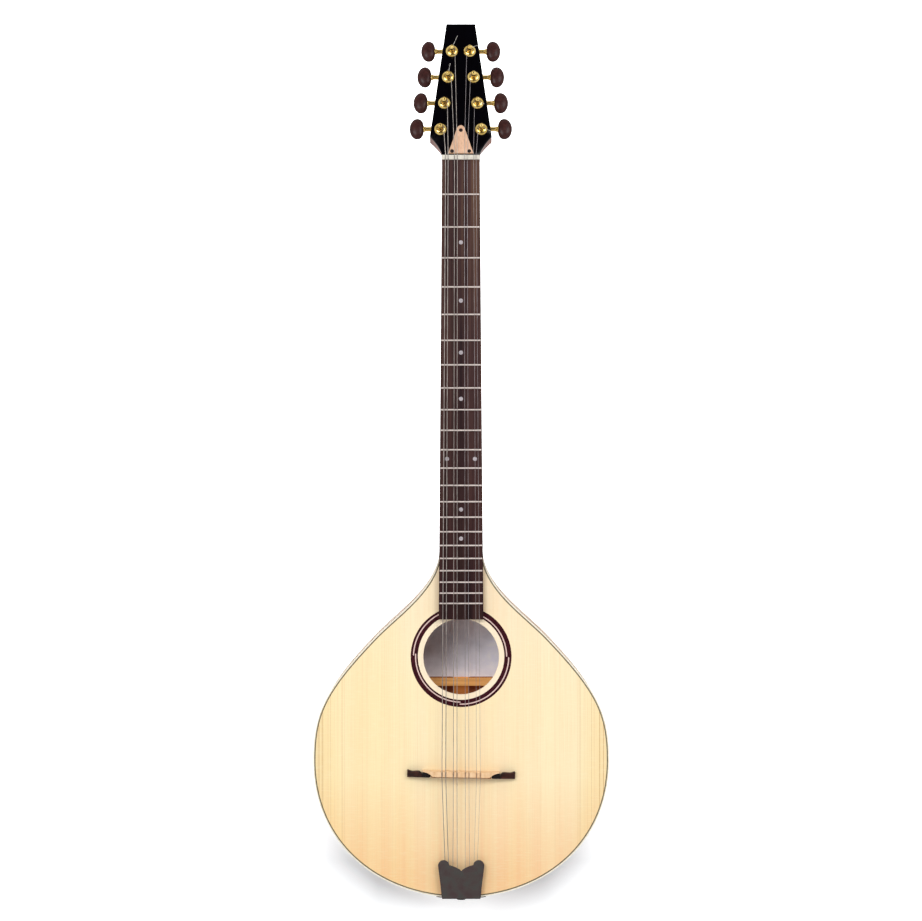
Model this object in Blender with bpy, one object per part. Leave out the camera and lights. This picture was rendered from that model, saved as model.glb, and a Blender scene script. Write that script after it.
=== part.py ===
"""An Irish bouzouki, built as a luthier would take it apart on a bench.

The instrument stands upright: the neck runs up along +Z, the soundboard faces -Y and the
bass strings are on the -X side. The origin is the middle of the end pin's flat outer face.
All sizes are in metres. Pieces that touch keep a gap of 0.3 mm.
"""

import math

import bmesh
import bpy
from mathutils import Matrix, Vector

GAP = 0.0003

# Body shell
BODY_LENGTH = 0.369
BODY_WIDTH = 0.313
BODY_DEPTH = 0.088
WIDEST_ABOVE_TAIL = 0.145
TAIL_ROUNDNESS = 0.084
LOWER_BOUT_FULLNESS = 0.091
UPPER_BOUT_FULLNESS = 0.048
FLARE_HALF_WIDTH = 0.0916
FLARE_ABOVE_TAIL = 0.2746
FLARE_ANGLE = math.radians(46.2)
FLARE_LOWER_PULL = 0.0795
FLARE_UPPER_PULL = 0.037
NECK_JOINT_PULL = 0.041
SOUNDBOARD_THICKNESS = 0.003
BACK_THICKNESS = 0.003
BINDING_WIDTH = 0.0013
RIB_THICKNESS = 0.0023
LINING_WIDTH = 0.006
LINING_HEIGHT = 0.012
SOUNDHOLE_RADIUS = 0.0399
SOUNDHOLE_ABOVE_TAIL = 0.2549

# End pin and what it fastens
END_PIN_LENGTH = 0.0085
END_PIN_HEAD_RADIUS = 0.0052
END_PIN_WAIST_RADIUS = 0.0038
END_PIN_STEM_RADIUS = 0.0034
END_PIN_HEAD_HEIGHT = 0.0042

# Inner blocks and braces
TAIL_BLOCK_HALF_WIDTH = 0.036
TAIL_BLOCK_THICKNESS = 0.020
NECK_BLOCK_HALF_WIDTH = 0.034
NECK_BLOCK_LENGTH = 0.060
BRACE_WIDTH = 0.008
BRACE_DEPTH = 0.012
X_BRACE_CROSSING_ABOVE_TAIL = 0.1915
X_BRACE_ANGLE = math.radians(36)
X_BRACE_UPPER_REACH = 0.100
X_BRACE_LOWER_REACH = 0.128
BACK_STRIP_WIDTH = 0.016
BACK_STRIP_THICKNESS = 0.0025
LADDER_BRACE_SHARES = (0.178, 0.429, 0.697, 0.957)
LADDER_BRACE_EDGE_ROOM = 0.016

# Scale and fretboard
SCALE_LENGTH = 0.650
FRET_COUNT = 22
SADDLE_ABOVE_TAIL = 0.1310
FRETBOARD_BEYOND_LAST_FRET = 0.0170
FRETBOARD_WIDTH_AT_NUT = 0.040
FRETBOARD_WIDTH_AT_END = 0.0472
FRETBOARD_THICKNESS = 0.0065
FRETBOARD_ABOVE_SOUNDBOARD = 0.0085
FRET_WIDTH = 0.0024
FRET_HEIGHT = 0.0011
FRET_CROWN_WIDTH = 0.0012
FRET_END_SETBACK = 0.0008
FRET_TANG = 0.0005
NUT_THICKNESS = 0.005

# Neck, heel and headstock
NECK_DEPTH_AT_NUT = 0.0155
NECK_DEPTH_AT_HEEL = 0.0185
HEEL_LENGTH = 0.075
HEEL_SETBACK_AT_BACK = 0.0015
TONGUE_SIDE_SETBACK = 0.0004
HEADSTOCK_TILT = math.radians(13)
HEADSTOCK_BEYOND_LAST_TUNER = 0.0309
HEADSTOCK_THICKNESS = 0.0135
HEADSTOCK_HALF_WIDTH_AT_NUT = 0.0202
HEADSTOCK_HALF_WIDTH_AT_SHOULDER = 0.0328
HEADSTOCK_HALF_WIDTH_AT_TOP = 0.0154
SHOULDER_LENGTH = 0.0208
SHOULDER_CURVE = 1.5
VENEER_THICKNESS = 0.002
COVER_LENGTH = 0.0325
COVER_HALF_WIDTH = 0.0134
COVER_APEX_RADIUS = 0.0042
COVER_THICKNESS = 0.0022
ROD_CHANNEL_WIDTH = 0.0076
ROD_CHANNEL_DEPTH = 0.0090
ROD_CHANNEL_REACH = 0.024
ROD_NUT_RADIUS = 0.0034
ROD_NUT_LENGTH = 0.012

# Strings: the outermost pair first, each course as an outer and an inner string
STRING_RADII = (0.00050, 0.00050, 0.00040, 0.00040)
TREBLE_STRING_RADII = (0.00020, 0.00020, 0.00025, 0.00025)
STRING_HALF_SPREAD_AT_NUT = (0.0161, 0.0134, 0.0067, 0.0037)
STRING_HALF_SPREAD_AT_SADDLE = (0.0202, 0.0162, 0.0082, 0.0044)
STRING_HALF_SPREAD_AT_TAIL = (0.0166, 0.0131, 0.0088, 0.0042)
STRING_ABOVE_FRETS_AT_NUT = 0.0011
STRING_ABOVE_SOUNDBOARD_AT_SADDLE = 0.0138
STRING_ABOVE_SOUNDBOARD_AT_TAIL = 0.0047
STRING_END_ABOVE_TAIL = 0.0255
STRING_TURNS = 1.5
STRING_POINTS_PER_TURN = 24
STRING_TURN_CLEARANCE = 0.00047
STRING_HEIGHT_AT_POST = 0.0085

# Bridge
BRIDGE_LENGTH = 0.114
BRIDGE_WIDTH = 0.0077
BRIDGE_FOOT_HEIGHT = 0.0072
BRIDGE_TIP_HEIGHT = 0.0042
BRIDGE_SHOULDER_HALF_LENGTH = 0.040
BRIDGE_SLANT = math.radians(1.1)
BRIDGE_SET_FORWARD = 0.0019
SADDLE_LENGTH = 0.0655
SADDLE_WIDTH = 0.0058
SADDLE_LIP = 0.0002

# Tailpiece
TAILPIECE_HEIGHT = 0.0078
TAILPIECE_SHEET = 0.0012
TAILPIECE_TOP_ABOVE_TAIL = 0.0409
TAILPIECE_NOTCH_ABOVE_TAIL = 0.0295
TAILPIECE_SLOPE_MIDDLE = 0.0057
TAILPIECE_SLOPE_RISE = 0.0038
TAILPIECE_LOBE_RADIUS = 0.0056
TAILPIECE_TOP_HALF_WIDTH = 0.0244
TAILPIECE_FOOT_HALF_WIDTH = 0.0205
TAILPIECE_STRAP_HALF_WIDTH = 0.0265
TAILPIECE_STRAP_REACH = 0.055
TAILPIECE_FOLD_RISE = 0.0011
HOOK_BAR_THICKNESS = 0.003

# Tuning machines, placed along the headstock from its shoulder upwards
TUNERS_PER_SIDE = 4
FIRST_TUNER_ALONG_HEADSTOCK = 0.0285
TUNER_SPACING = 0.0292
TUNER_EDGE_DISTANCE = 0.0101
POST_RADIUS = 0.0030
POST_WAIST_RADIUS = 0.0026
POST_HEIGHT_OVER_VENEER = 0.0145
POST_WAIST_FROM = 0.0032
POST_WAIST_TO = 0.0082
POST_FLARE = 0.0008
BORE_CLEARANCE = 0.0004
SLEEVE_RADIUS = 0.0043
SLEEVE_CLEARANCE = 0.0006
WASHER_RADIUS = 0.00675
WASHER_THICKNESS = 0.001
BUSHING_RADIUS = 0.0047
BUSHING_HEIGHT = 0.0014
WORM_DEPTH_UNDER_HEADSTOCK = 0.0059
WHEEL_TEETH = 14
WHEEL_PITCH_RADIUS = 0.0052
WHEEL_TIP_RADIUS = 0.00575
WHEEL_ROOT_RADIUS = 0.0035
WHEEL_THICKNESS = 0.003
WHEEL_TOOTH_TIP = 0.00072
WORM_PITCH_RADIUS = 0.0026
WORM_TIP_RADIUS = 0.00315
WORM_ROOT_RADIUS = 0.0019
WORM_TURNS = 2.5
WORM_STEPS_PER_TURN = 10
WORM_FLANK = 0.00022
WORM_CREST = 0.00056
SHAFT_RADIUS = 0.0024
JOURNAL_RADIUS = 0.0015
HOUSING_WALL = 0.0012
HOUSING_HALF_LENGTH = 0.0078
HOUSING_DEPTH = 0.0114
BARREL_RADIUS = 0.0040
BARREL_REACH = 0.0125
BUTTON_START = 0.0177
BUTTON_LENGTH = 0.0154
BUTTON_HEIGHT = 0.0230
BUTTON_THICKNESS = 0.0086
BUTTON_BORE_DEPTH = 0.008

# Places that follow from the sizes above
TAIL_Z = END_PIN_LENGTH
JOINT_Z = TAIL_Z + BODY_LENGTH
SADDLE_Z = TAIL_Z + SADDLE_ABOVE_TAIL
NUT_Z = SADDLE_Z - BRIDGE_SET_FORWARD + SCALE_LENGTH
NUT_BACK_Z = NUT_Z + NUT_THICKNESS
LAST_FRET_REACH = SCALE_LENGTH * (1 - 2 ** (-FRET_COUNT / 12))
FRETBOARD_LENGTH = LAST_FRET_REACH + FRETBOARD_BEYOND_LAST_FRET
HALF_DEPTH = BODY_DEPTH / 2
FRONT_Y = -HALF_DEPTH
FRETBOARD_Y = FRONT_Y - FRETBOARD_ABOVE_SOUNDBOARD
NECK_FRONT_Y = FRETBOARD_Y + FRETBOARD_THICKNESS
WORM_OFFSET = WHEEL_PITCH_RADIUS + WORM_PITCH_RADIUS
WORM_LEAD = 2 * math.pi * WHEEL_PITCH_RADIUS / WHEEL_TEETH
WORM_LEVEL = -HEADSTOCK_THICKNESS - WORM_DEPTH_UNDER_HEADSTOCK
LAST_TUNER_ALONG_HEADSTOCK = FIRST_TUNER_ALONG_HEADSTOCK + (TUNERS_PER_SIDE - 1) * TUNER_SPACING
HEADSTOCK_LENGTH = LAST_TUNER_ALONG_HEADSTOCK + HEADSTOCK_BEYOND_LAST_TUNER
EDGE_LEAN = math.atan2(
    HEADSTOCK_HALF_WIDTH_AT_SHOULDER - HEADSTOCK_HALF_WIDTH_AT_TOP,
    HEADSTOCK_LENGTH - SHOULDER_LENGTH,
)


def clear_scene():
    for obj in list(bpy.data.objects):
        bpy.data.objects.remove(obj)


def material(name, color, roughness, metallic=0.0):
    mat = bpy.data.materials.new(name)
    mat.use_nodes = True
    shader = mat.node_tree.nodes["Principled BSDF"]
    shader.inputs["Base Color"].default_value = (*color, 1.0)
    shader.inputs["Roughness"].default_value = roughness
    shader.inputs["Metallic"].default_value = metallic
    mat.diffuse_color = (*color, 1.0)
    return mat


def solid(name, verts, faces):
    """A closed mesh object whose faces all point outwards."""
    mesh = bpy.data.meshes.new(name)
    mesh.from_pydata([tuple(v) for v in verts], [], faces)
    bm = bmesh.new()
    bm.from_mesh(mesh)
    bmesh.ops.recalc_face_normals(bm, faces=bm.faces)
    bm.to_mesh(mesh)
    bm.free()
    obj = bpy.data.objects.new(name, mesh)
    bpy.context.scene.collection.objects.link(obj)
    return obj


def finish(obj, mat, smooth_angle=None):
    """Give a finished piece its one material and its shading."""
    obj.data.materials.clear()
    obj.data.materials.append(mat)
    for polygon in obj.data.polygons:
        polygon.material_index = 0
    if smooth_angle is not None:
        obj.data.shade_smooth()
        obj.data.set_sharp_from_angle(angle=smooth_angle)
    return obj


def combine(base, tools, operation):
    """Join or cut a solid with others, which are used up."""
    for tool in tools:
        modifier = base.modifiers.new(operation.title(), "BOOLEAN")
        modifier.operation = operation
        modifier.solver = "EXACT"
        modifier.object = tool
    bpy.context.view_layer.update()
    evaluated = base.evaluated_get(bpy.context.evaluated_depsgraph_get())
    mesh = bpy.data.meshes.new_from_object(evaluated)
    base.modifiers.clear()
    base.data = mesh
    mesh.name = base.name
    for tool in tools:
        bpy.data.objects.remove(tool)
    return base


def skin(name, rings, closed=False):
    """A solid through rings of equally many points, capped at both ends or closed on itself."""
    count = len(rings[0])
    verts = [point for ring in rings for point in ring]
    faces = []
    spans = len(rings) if closed else len(rings) - 1
    for i in range(spans):
        a = i * count
        b = (i + 1) % len(rings) * count
        for j in range(count):
            k = (j + 1) % count
            faces.append((a + j, a + k, b + k, b + j))
    if not closed:
        faces.append(tuple(range(count)))
        faces.append(tuple(range(len(verts) - count, len(verts))))
    return solid(name, verts, faces)


def plate(name, outline, low_y, high_y):
    """A flat piece: an outline of (x, z) points extruded from low_y to high_y."""
    rings = [[(x, y, z) for x, z in outline] for y in (low_y, high_y)]
    return skin(name, rings)


def block(name, low, high):
    """A box between two corners."""
    outline = [(low[0], low[2]), (high[0], low[2]), (high[0], high[2]), (low[0], high[2])]
    return plate(name, outline, low[1], high[1])


def circle(radius, sides, turn=0.5):
    """Points of a regular polygon, turned by a share of one side."""
    angles = [2 * math.pi * (i + turn) / sides for i in range(sides)]
    return [(radius * math.cos(a), radius * math.sin(a)) for a in angles]


def turned(name, profile, sides):
    """A turned piece along +Z from (radius, height) pairs."""
    rings = [[(x, y, height) for x, y in circle(radius, sides)] for radius, height in profile]
    return skin(name, rings)


def bezier(start, pull_start, pull_end, end, steps):
    """Points of a cubic curve from start up to, but without, end."""
    points = []
    for i in range(steps):
        t = i / steps
        weights = ((1 - t) ** 3, 3 * (1 - t) ** 2 * t, 3 * (1 - t) * t * t, t ** 3)
        corners = (start, pull_start, pull_end, end)
        x = sum(w * p[0] for w, p in zip(weights, corners))
        z = sum(w * p[1] for w, p in zip(weights, corners))
        points.append((x, z))
    return points


def fretboard_half_width(z):
    """The fretboard widens evenly from the nut to its lower end."""
    share = (NUT_Z - z) / FRETBOARD_LENGTH
    return (FRETBOARD_WIDTH_AT_NUT * (1 - share) + FRETBOARD_WIDTH_AT_END * share) / 2


def body_side():
    """The treble half of the body outline, from the tail's middle up to the neck joint."""
    half = BODY_WIDTH / 2
    widest = TAIL_Z + WIDEST_ABOVE_TAIL
    flare = (FLARE_HALF_WIDTH, TAIL_Z + FLARE_ABOVE_TAIL)
    along = (-math.cos(FLARE_ANGLE), math.sin(FLARE_ANGLE))
    before_flare = tuple(p - FLARE_LOWER_PULL * d for p, d in zip(flare, along))
    after_flare = tuple(p + FLARE_UPPER_PULL * d for p, d in zip(flare, along))
    joint = (fretboard_half_width(JOINT_Z), JOINT_Z)
    points = bezier(
        (0.0, TAIL_Z), (TAIL_ROUNDNESS, TAIL_Z), (half, widest - LOWER_BOUT_FULLNESS), (half, widest), 12
    )
    points += bezier((half, widest), (half, widest + UPPER_BOUT_FULLNESS), before_flare, flare, 9)
    points += bezier(flare, after_flare, (joint[0], JOINT_Z - NECK_JOINT_PULL), joint, 7)
    return points + [joint]


def inset(points, distance):
    """The half outline moved inwards, square to itself."""
    moved = []
    for i, (x, z) in enumerate(points):
        before = points[max(i - 1, 0)]
        after = points[min(i + 1, len(points) - 1)]
        run = Vector((after[0] - before[0], after[1] - before[1])).normalized()
        if i == 0:
            run = Vector((1.0, 0.0))
        if i == len(points) - 1:
            run = Vector((0.0, 1.0))
        share = distance[i] if isinstance(distance, list) else distance
        moved.append((x - run.y * share, z + run.x * share))
    return moved


def whole_outline(distance):
    """Both sides of the body outline, moved inwards, from the bass joint round to the treble one."""
    side = inset(body_side(), distance)
    return [(-x, z) for x, z in reversed(side[1:])] + side


def make_plates(spruce, mahogany):
    edge = BINDING_WIDTH + GAP
    soundboard = plate("soundboard", whole_outline(edge), FRONT_Y, FRONT_Y + SOUNDBOARD_THICKNESS)
    hole = turned("hole", [(SOUNDHOLE_RADIUS, -0.01), (SOUNDHOLE_RADIUS, 0.01)], 36)
    hole.matrix_world = Matrix.Translation((0, FRONT_Y, TAIL_Z + SOUNDHOLE_ABOVE_TAIL)) @ Matrix.Rotation(
        math.pi / 2, 4, "X"
    )
    combine(soundboard, [hole], "DIFFERENCE")
    finish(soundboard, spruce)
    back = plate("back_plate", whole_outline(edge), HALF_DEPTH - BACK_THICKNESS, HALF_DEPTH)
    finish(back, mahogany)


def make_bindings(ivory):
    """The strips that close the edges of the soundboard and the back, from joint to joint."""
    outer = whole_outline(0.0)
    inner = whole_outline(BINDING_WIDTH)
    faces = {
        "binding_front": (FRONT_Y, FRONT_Y + SOUNDBOARD_THICKNESS),
        "binding_back": (HALF_DEPTH - BACK_THICKNESS, HALF_DEPTH),
    }
    for name, (low, high) in faces.items():
        rings = []
        for (ox, oz), (ix, iz) in zip(outer, inner):
            rings.append([(ox, low, oz), (ox, high, oz), (ix, high, iz), (ix, low, iz)])
        finish(skin(name, rings), ivory)


def make_ribs(mahogany):
    """Each rib is a bent wall with its glued lining along both edges, which stops at the blocks."""
    side = body_side()
    low = FRONT_Y + SOUNDBOARD_THICKNESS + GAP
    high = HALF_DEPTH - BACK_THICKNESS - GAP
    block_top = TAIL_Z + TAIL_BLOCK_THICKNESS + 2 * RIB_THICKNESS
    block_bottom = JOINT_Z - NECK_BLOCK_LENGTH
    lining = []
    for x, z in side:
        at_block = (z < block_top and x < TAIL_BLOCK_HALF_WIDTH + LINING_WIDTH) or z > block_bottom
        lining.append(RIB_THICKNESS + (0.0001 if at_block else LINING_WIDTH))
    wall = inset(side, RIB_THICKNESS)
    ledge = inset(side, lining)
    for name, sign in (("rib_treble", 1), ("rib_bass", -1)):
        rings = []
        for (ox, oz), (wx, wz), (lx, lz) in zip(side, wall, ledge):
            section = [
                (ox, low, oz),
                (ox, high, oz),
                (lx, high, lz),
                (wx, high - LINING_HEIGHT, wz),
                (wx, low + LINING_HEIGHT, wz),
                (lx, low, lz),
            ]
            rings.append([(sign * max(x, GAP / 2), y, z) for x, y, z in section])
        rib = skin(name, rings)
        finish(combine(rib, [pin_hole()], "DIFFERENCE"), mahogany)


def pin_hole():
    """The hole that the end pin's stem goes through."""
    radius = END_PIN_STEM_RADIUS + BORE_CLEARANCE
    return turned("pin_hole", [(radius, 0.0), (radius, TAIL_Z + 0.04)], 12)


def make_blocks(spruce, mahogany):
    """The tail block and the neck block fill the shell's ends from the soundboard to the back."""
    low = FRONT_Y + SOUNDBOARD_THICKNESS + GAP
    high = HALF_DEPTH - BACK_THICKNESS - GAP
    inside = inset(body_side(), RIB_THICKNESS + 0.0001 + GAP)
    lower = []
    for (x0, z0), (x1, z1) in zip(inside, inside[1:]):
        lower.append((x0, z0))
        if x1 >= TAIL_BLOCK_HALF_WIDTH:
            share = (TAIL_BLOCK_HALF_WIDTH - x0) / (x1 - x0)
            lower.append((TAIL_BLOCK_HALF_WIDTH, z0 + (z1 - z0) * share))
            break
    top_z = lower[0][1] + TAIL_BLOCK_THICKNESS
    right = lower + [(TAIL_BLOCK_HALF_WIDTH, top_z)]
    outline = right + [(-x, z) for x, z in reversed(right[1:])]
    tail = plate("tail_block", outline, low, high)
    finish(combine(tail, [pin_hole()], "DIFFERENCE"), spruce)
    bottom_z = JOINT_Z - NECK_BLOCK_LENGTH
    upper = [(min(x, NECK_BLOCK_HALF_WIDTH), z) for x, z in inside if z > bottom_z]
    right = [(NECK_BLOCK_HALF_WIDTH, bottom_z)] + upper
    outline = right + [(-x, z) for x, z in reversed(right)]
    finish(plate("neck_block", outline, low, high), mahogany)


def bar(name, start, end, width, low_y, high_y):
    """A straight bar of a rectangular section between two (x, z) points."""
    run = Vector((end[0] - start[0], end[1] - start[1])).normalized()
    side = Vector((-run.y, run.x)) * width / 2
    outline = [
        (start[0] - side.x, start[1] - side.y),
        (end[0] - side.x, end[1] - side.y),
        (end[0] + side.x, end[1] + side.y),
        (start[0] + side.x, start[1] + side.y),
    ]
    return plate(name, outline, low_y, high_y)


def half_width_at(z):
    """How far the body reaches to the side at a height."""
    side = body_side()
    for (x0, z0), (x1, z1) in zip(side, side[1:]):
        if z0 <= z <= z1:
            return x0 + (x1 - x0) * (z - z0) / (z1 - z0)
    return side[-1][0]


def make_braces(spruce):
    """The X brace under the soundboard, and the ladder of braces across the back's centre strip."""
    inner = FRONT_Y + SOUNDBOARD_THICKNESS + GAP
    crossing = TAIL_Z + X_BRACE_CROSSING_ABOVE_TAIL
    bars = []
    for i, sign in enumerate((1, -1)):
        run = (sign * math.cos(X_BRACE_ANGLE), math.sin(X_BRACE_ANGLE))
        start = (-X_BRACE_LOWER_REACH * run[0], crossing - X_BRACE_LOWER_REACH * run[1])
        end = (X_BRACE_UPPER_REACH * run[0], crossing + X_BRACE_UPPER_REACH * run[1])
        depth = BRACE_DEPTH + i * GAP
        bars.append(bar("top_brace", start, end, BRACE_WIDTH, inner + i * 0.0002, inner + depth))
    finish(combine(bars[0], bars[1:], "UNION"), spruce)
    outer = HALF_DEPTH - BACK_THICKNESS - GAP
    low_z = TAIL_Z + TAIL_BLOCK_THICKNESS + RIB_THICKNESS + 4 * GAP
    high_z = JOINT_Z - NECK_BLOCK_LENGTH - GAP
    half = BACK_STRIP_WIDTH / 2
    strip = block("back_braces", (-half, outer - BACK_STRIP_THICKNESS, low_z), (half, outer, high_z))
    ladder = []
    for share in LADDER_BRACE_SHARES:
        z = low_z + share * (high_z - low_z)
        reach = min(half_width_at(z - BRACE_WIDTH / 2), half_width_at(z + BRACE_WIDTH / 2))
        reach -= LADDER_BRACE_EDGE_ROOM
        ladder.append(bar("ladder", (-reach, z), (reach, z), BRACE_WIDTH, outer - BRACE_DEPTH, outer - 0.0002))
    finish(combine(strip, ladder, "UNION"), spruce)


def headstock_point(x, along, out):
    """World place of a point given across, along and out of the headstock's wooden face."""
    lean = HEADSTOCK_TILT
    y = NECK_FRONT_Y + along * math.sin(lean) - out * math.cos(lean)
    z = NUT_BACK_Z + along * math.cos(lean) + out * math.sin(lean)
    return (x, y, z)


def headstock_half_width(along):
    if along < SHOULDER_LENGTH:
        share = max(along, 0.0) / SHOULDER_LENGTH
        widening = HEADSTOCK_HALF_WIDTH_AT_SHOULDER - HEADSTOCK_HALF_WIDTH_AT_NUT
        return HEADSTOCK_HALF_WIDTH_AT_NUT + widening * share ** SHOULDER_CURVE
    return HEADSTOCK_HALF_WIDTH_AT_SHOULDER - (along - SHOULDER_LENGTH) * math.tan(EDGE_LEAN)


def neck_section(half_width, depth, squareness):
    """Half round section: across and backwards, from one front corner round to the other."""
    points = []
    steps = 10
    for i in range(steps + 1):
        angle = math.pi * i / steps
        across = math.copysign(abs(math.cos(angle)) ** squareness, math.cos(angle))
        back = max(math.sin(angle), 0.0) ** squareness
        if i in (0, steps):
            back = 0.0
        points.append((half_width * across, depth * back))
    return points


def make_neck(mahogany):
    """Heel, shaft and headstock are one carved piece, with the rod channel and the post holes."""
    rings = []
    heel_depth = HALF_DEPTH - HEEL_SETBACK_AT_BACK - NECK_FRONT_Y
    start = JOINT_Z + GAP
    for share, squareness in ((0.0, 0.5), (0.12, 0.6), (0.3, 0.75), (0.55, 0.85), (1.0, 0.85)):
        z = start + share * HEEL_LENGTH
        depth = NECK_DEPTH_AT_HEEL + (heel_depth - NECK_DEPTH_AT_HEEL) * (1 - share) ** 2.4
        section = neck_section(fretboard_half_width(z) - GAP, depth, squareness)
        rings.append([(x, NECK_FRONT_Y + back, z) for x, back in section])
    shaft_end = NUT_Z - 0.004
    half = fretboard_half_width(shaft_end) - GAP
    section = neck_section(half, NECK_DEPTH_AT_NUT, 0.85)
    rings.append([(x, NECK_FRONT_Y + back, shaft_end) for x, back in section])
    for along, squareness in ((0.002, 0.5), (0.008, 0.2), (0.0145, 0.1), (SHOULDER_LENGTH, 0.08)):
        section = neck_section(headstock_half_width(along), HEADSTOCK_THICKNESS, squareness)
        rings.append([headstock_point(x, along, -back) for x, back in section])
    section = neck_section(HEADSTOCK_HALF_WIDTH_AT_TOP, HEADSTOCK_THICKNESS, 0.08)
    rings.append([headstock_point(x, HEADSTOCK_LENGTH, -back) for x, back in section])
    neck = skin("neck", rings)
    half = fretboard_half_width(JOINT_Z) - TONGUE_SIDE_SETBACK
    tongue = block(
        "tongue",
        (-half, NECK_FRONT_Y + 0.0001, NUT_Z - FRETBOARD_LENGTH + 0.0005),
        (half, FRONT_Y - GAP, JOINT_Z + 0.006),
    )
    combine(neck, [tongue], "UNION")
    half = ROD_CHANNEL_WIDTH / 2
    channel = block(
        "channel",
        (-half, NECK_FRONT_Y - 0.004, JOINT_Z + 0.010),
        (half, NECK_FRONT_Y + ROD_CHANNEL_DEPTH, NUT_BACK_Z + ROD_CHANNEL_REACH),
    )
    combine(neck, [channel, post_holes()], "DIFFERENCE")
    finish(neck, mahogany, math.radians(35))


def post_holes():
    """Eight round cutters, one for each tuning machine's sleeve."""
    holes = []
    for side, number in tuner_places():
        radius = SLEEVE_RADIUS + SLEEVE_CLEARANCE
        hole = turned("post_hole", [(radius, -0.02), (radius, 0.006)], 12)
        hole.data.transform(tuner_frame(side, number))
        holes.append(hole)
    bm = bmesh.new()
    for hole in holes:
        bm.from_mesh(hole.data)
    for hole in holes[1:]:
        bpy.data.objects.remove(hole)
    bm.to_mesh(holes[0].data)
    bm.free()
    return holes[0]


def make_truss_rod(steel):
    """A square rod in its channel, with the adjusting nut under the headstock's cover."""
    half = ROD_CHANNEL_WIDTH / 2 - GAP
    low = NECK_FRONT_Y + 2 * GAP
    high = NECK_FRONT_Y + ROD_CHANNEL_DEPTH - 2 * GAP
    rod = block("truss_rod", (-half, low, JOINT_Z + 0.011), (half, high, NUT_BACK_Z + 0.001))
    nut = turned("rod_nut", [(ROD_NUT_RADIUS, -0.002), (ROD_NUT_RADIUS, ROD_NUT_LENGTH)], 6)
    nut.matrix_world = Matrix.Translation((0, (low + high) / 2, NUT_BACK_Z + 0.0005))
    finish(combine(rod, [nut], "UNION"), steel)


def make_veneer(black):
    """The thin black facing of the headstock, open over the rod's nut and round each post."""
    steps = (0.0008, 0.006, 0.011, 0.016, SHOULDER_LENGTH, HEADSTOCK_LENGTH)
    right = [(headstock_half_width(s), s) for s in steps]
    outline = right + [(-x, s) for x, s in reversed(right)]
    rings = [[headstock_point(x, s, out) for x, s in outline] for out in (GAP, VENEER_THICKNESS)]
    veneer = skin("headstock_veneer", rings)
    half = ROD_CHANNEL_WIDTH / 2
    slot_outline = [(-half, -0.001), (half, -0.001), (half, 0.021), (-half, 0.021)]
    slot = skin("slot", [[headstock_point(x, s, out) for x, s in slot_outline] for out in (-0.002, 0.004)])
    combine(veneer, [slot, post_holes()], "DIFFERENCE")
    finish(veneer, black)


def make_rod_cover(maple):
    """A three-cornered plate with a round point, over the rod's nut."""
    centre = COVER_LENGTH - COVER_APEX_RADIUS
    lean = math.atan2(COVER_HALF_WIDTH - COVER_APEX_RADIUS, centre)
    right = [(COVER_HALF_WIDTH, 0.0014), (COVER_HALF_WIDTH, 0.003)]
    for i in range(4):
        angle = lean + (math.pi / 2 - lean) * i / 3
        x = COVER_APEX_RADIUS * math.cos(angle)
        right.append((x, centre + COVER_APEX_RADIUS * math.sin(angle)))
    outline = right + [(-x, s) for x, s in reversed(right[:-1])]
    low = VENEER_THICKNESS + GAP
    rings = [[headstock_point(x, s, out) for x, s in outline] for out in (low, low + COVER_THICKNESS)]
    finish(skin("truss_rod_cover", rings), maple)


def fret_place(number):
    """Height of a fret, from the rule that each fret cuts the string by a twelfth of an octave."""
    return NUT_Z - SCALE_LENGTH * (1 - 2 ** (-number / 12))


def make_fretboard(rosewood):
    """The tapered board with its frets pressed in."""
    end = NUT_Z - FRETBOARD_LENGTH
    top = NUT_Z
    low_half = fretboard_half_width(end)
    high_half = fretboard_half_width(top)
    outline = [(-low_half, end), (low_half, end), (high_half, top), (-high_half, top)]
    board = plate("fretboard", outline, FRETBOARD_Y, NECK_FRONT_Y - GAP)
    bm = bmesh.new()
    for number in range(1, FRET_COUNT + 1):
        z = fret_place(number)
        half = fretboard_half_width(z) - FRET_END_SETBACK
        base = FRETBOARD_Y + FRET_TANG
        crown = FRETBOARD_Y - FRET_HEIGHT
        section = [
            (base, -FRET_WIDTH / 2),
            (FRETBOARD_Y - FRET_HEIGHT / 3, -FRET_WIDTH / 2),
            (crown, -FRET_CROWN_WIDTH / 2),
            (crown, FRET_CROWN_WIDTH / 2),
            (FRETBOARD_Y - FRET_HEIGHT / 3, FRET_WIDTH / 2),
            (base, FRET_WIDTH / 2),
        ]
        fret = skin("fret", [[(x, y, z + dz) for y, dz in section] for x in (-half, half)])
        bm.from_mesh(fret.data)
        bpy.data.objects.remove(fret)
    frets = solid("frets", [], [])
    bm.to_mesh(frets.data)
    bm.free()
    finish(combine(board, [frets], "UNION"), rosewood)


def string_specs():
    """Side, number, radius and half spreads of each string; number 1 is the outermost."""
    specs = []
    for side, radii in ((-1, STRING_RADII), (1, TREBLE_STRING_RADII)):
        for i in range(TUNERS_PER_SIDE):
            specs.append((side, i + 1, radii[i]))
    return specs


def string_height(z):
    """Depth place of a string's middle between nut and saddle, on a straight line."""
    at_nut = FRETBOARD_Y - FRET_HEIGHT - STRING_ABOVE_FRETS_AT_NUT
    at_saddle = FRONT_Y - STRING_ABOVE_SOUNDBOARD_AT_SADDLE
    share = (NUT_Z - z) / (NUT_Z - SADDLE_Z)
    return at_nut + (at_saddle - at_nut) * share


def string_across(number, z):
    """Sideways place of a string between nut and saddle."""
    share = (NUT_Z - z) / (NUT_Z - SADDLE_Z)
    near = STRING_HALF_SPREAD_AT_NUT[number - 1]
    far = STRING_HALF_SPREAD_AT_SADDLE[number - 1]
    return near + (far - near) * share


def saddle_line(x):
    """Height of the slanted saddle's middle at a sideways place."""
    return SADDLE_Z - x * math.tan(BRIDGE_SLANT)


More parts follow.
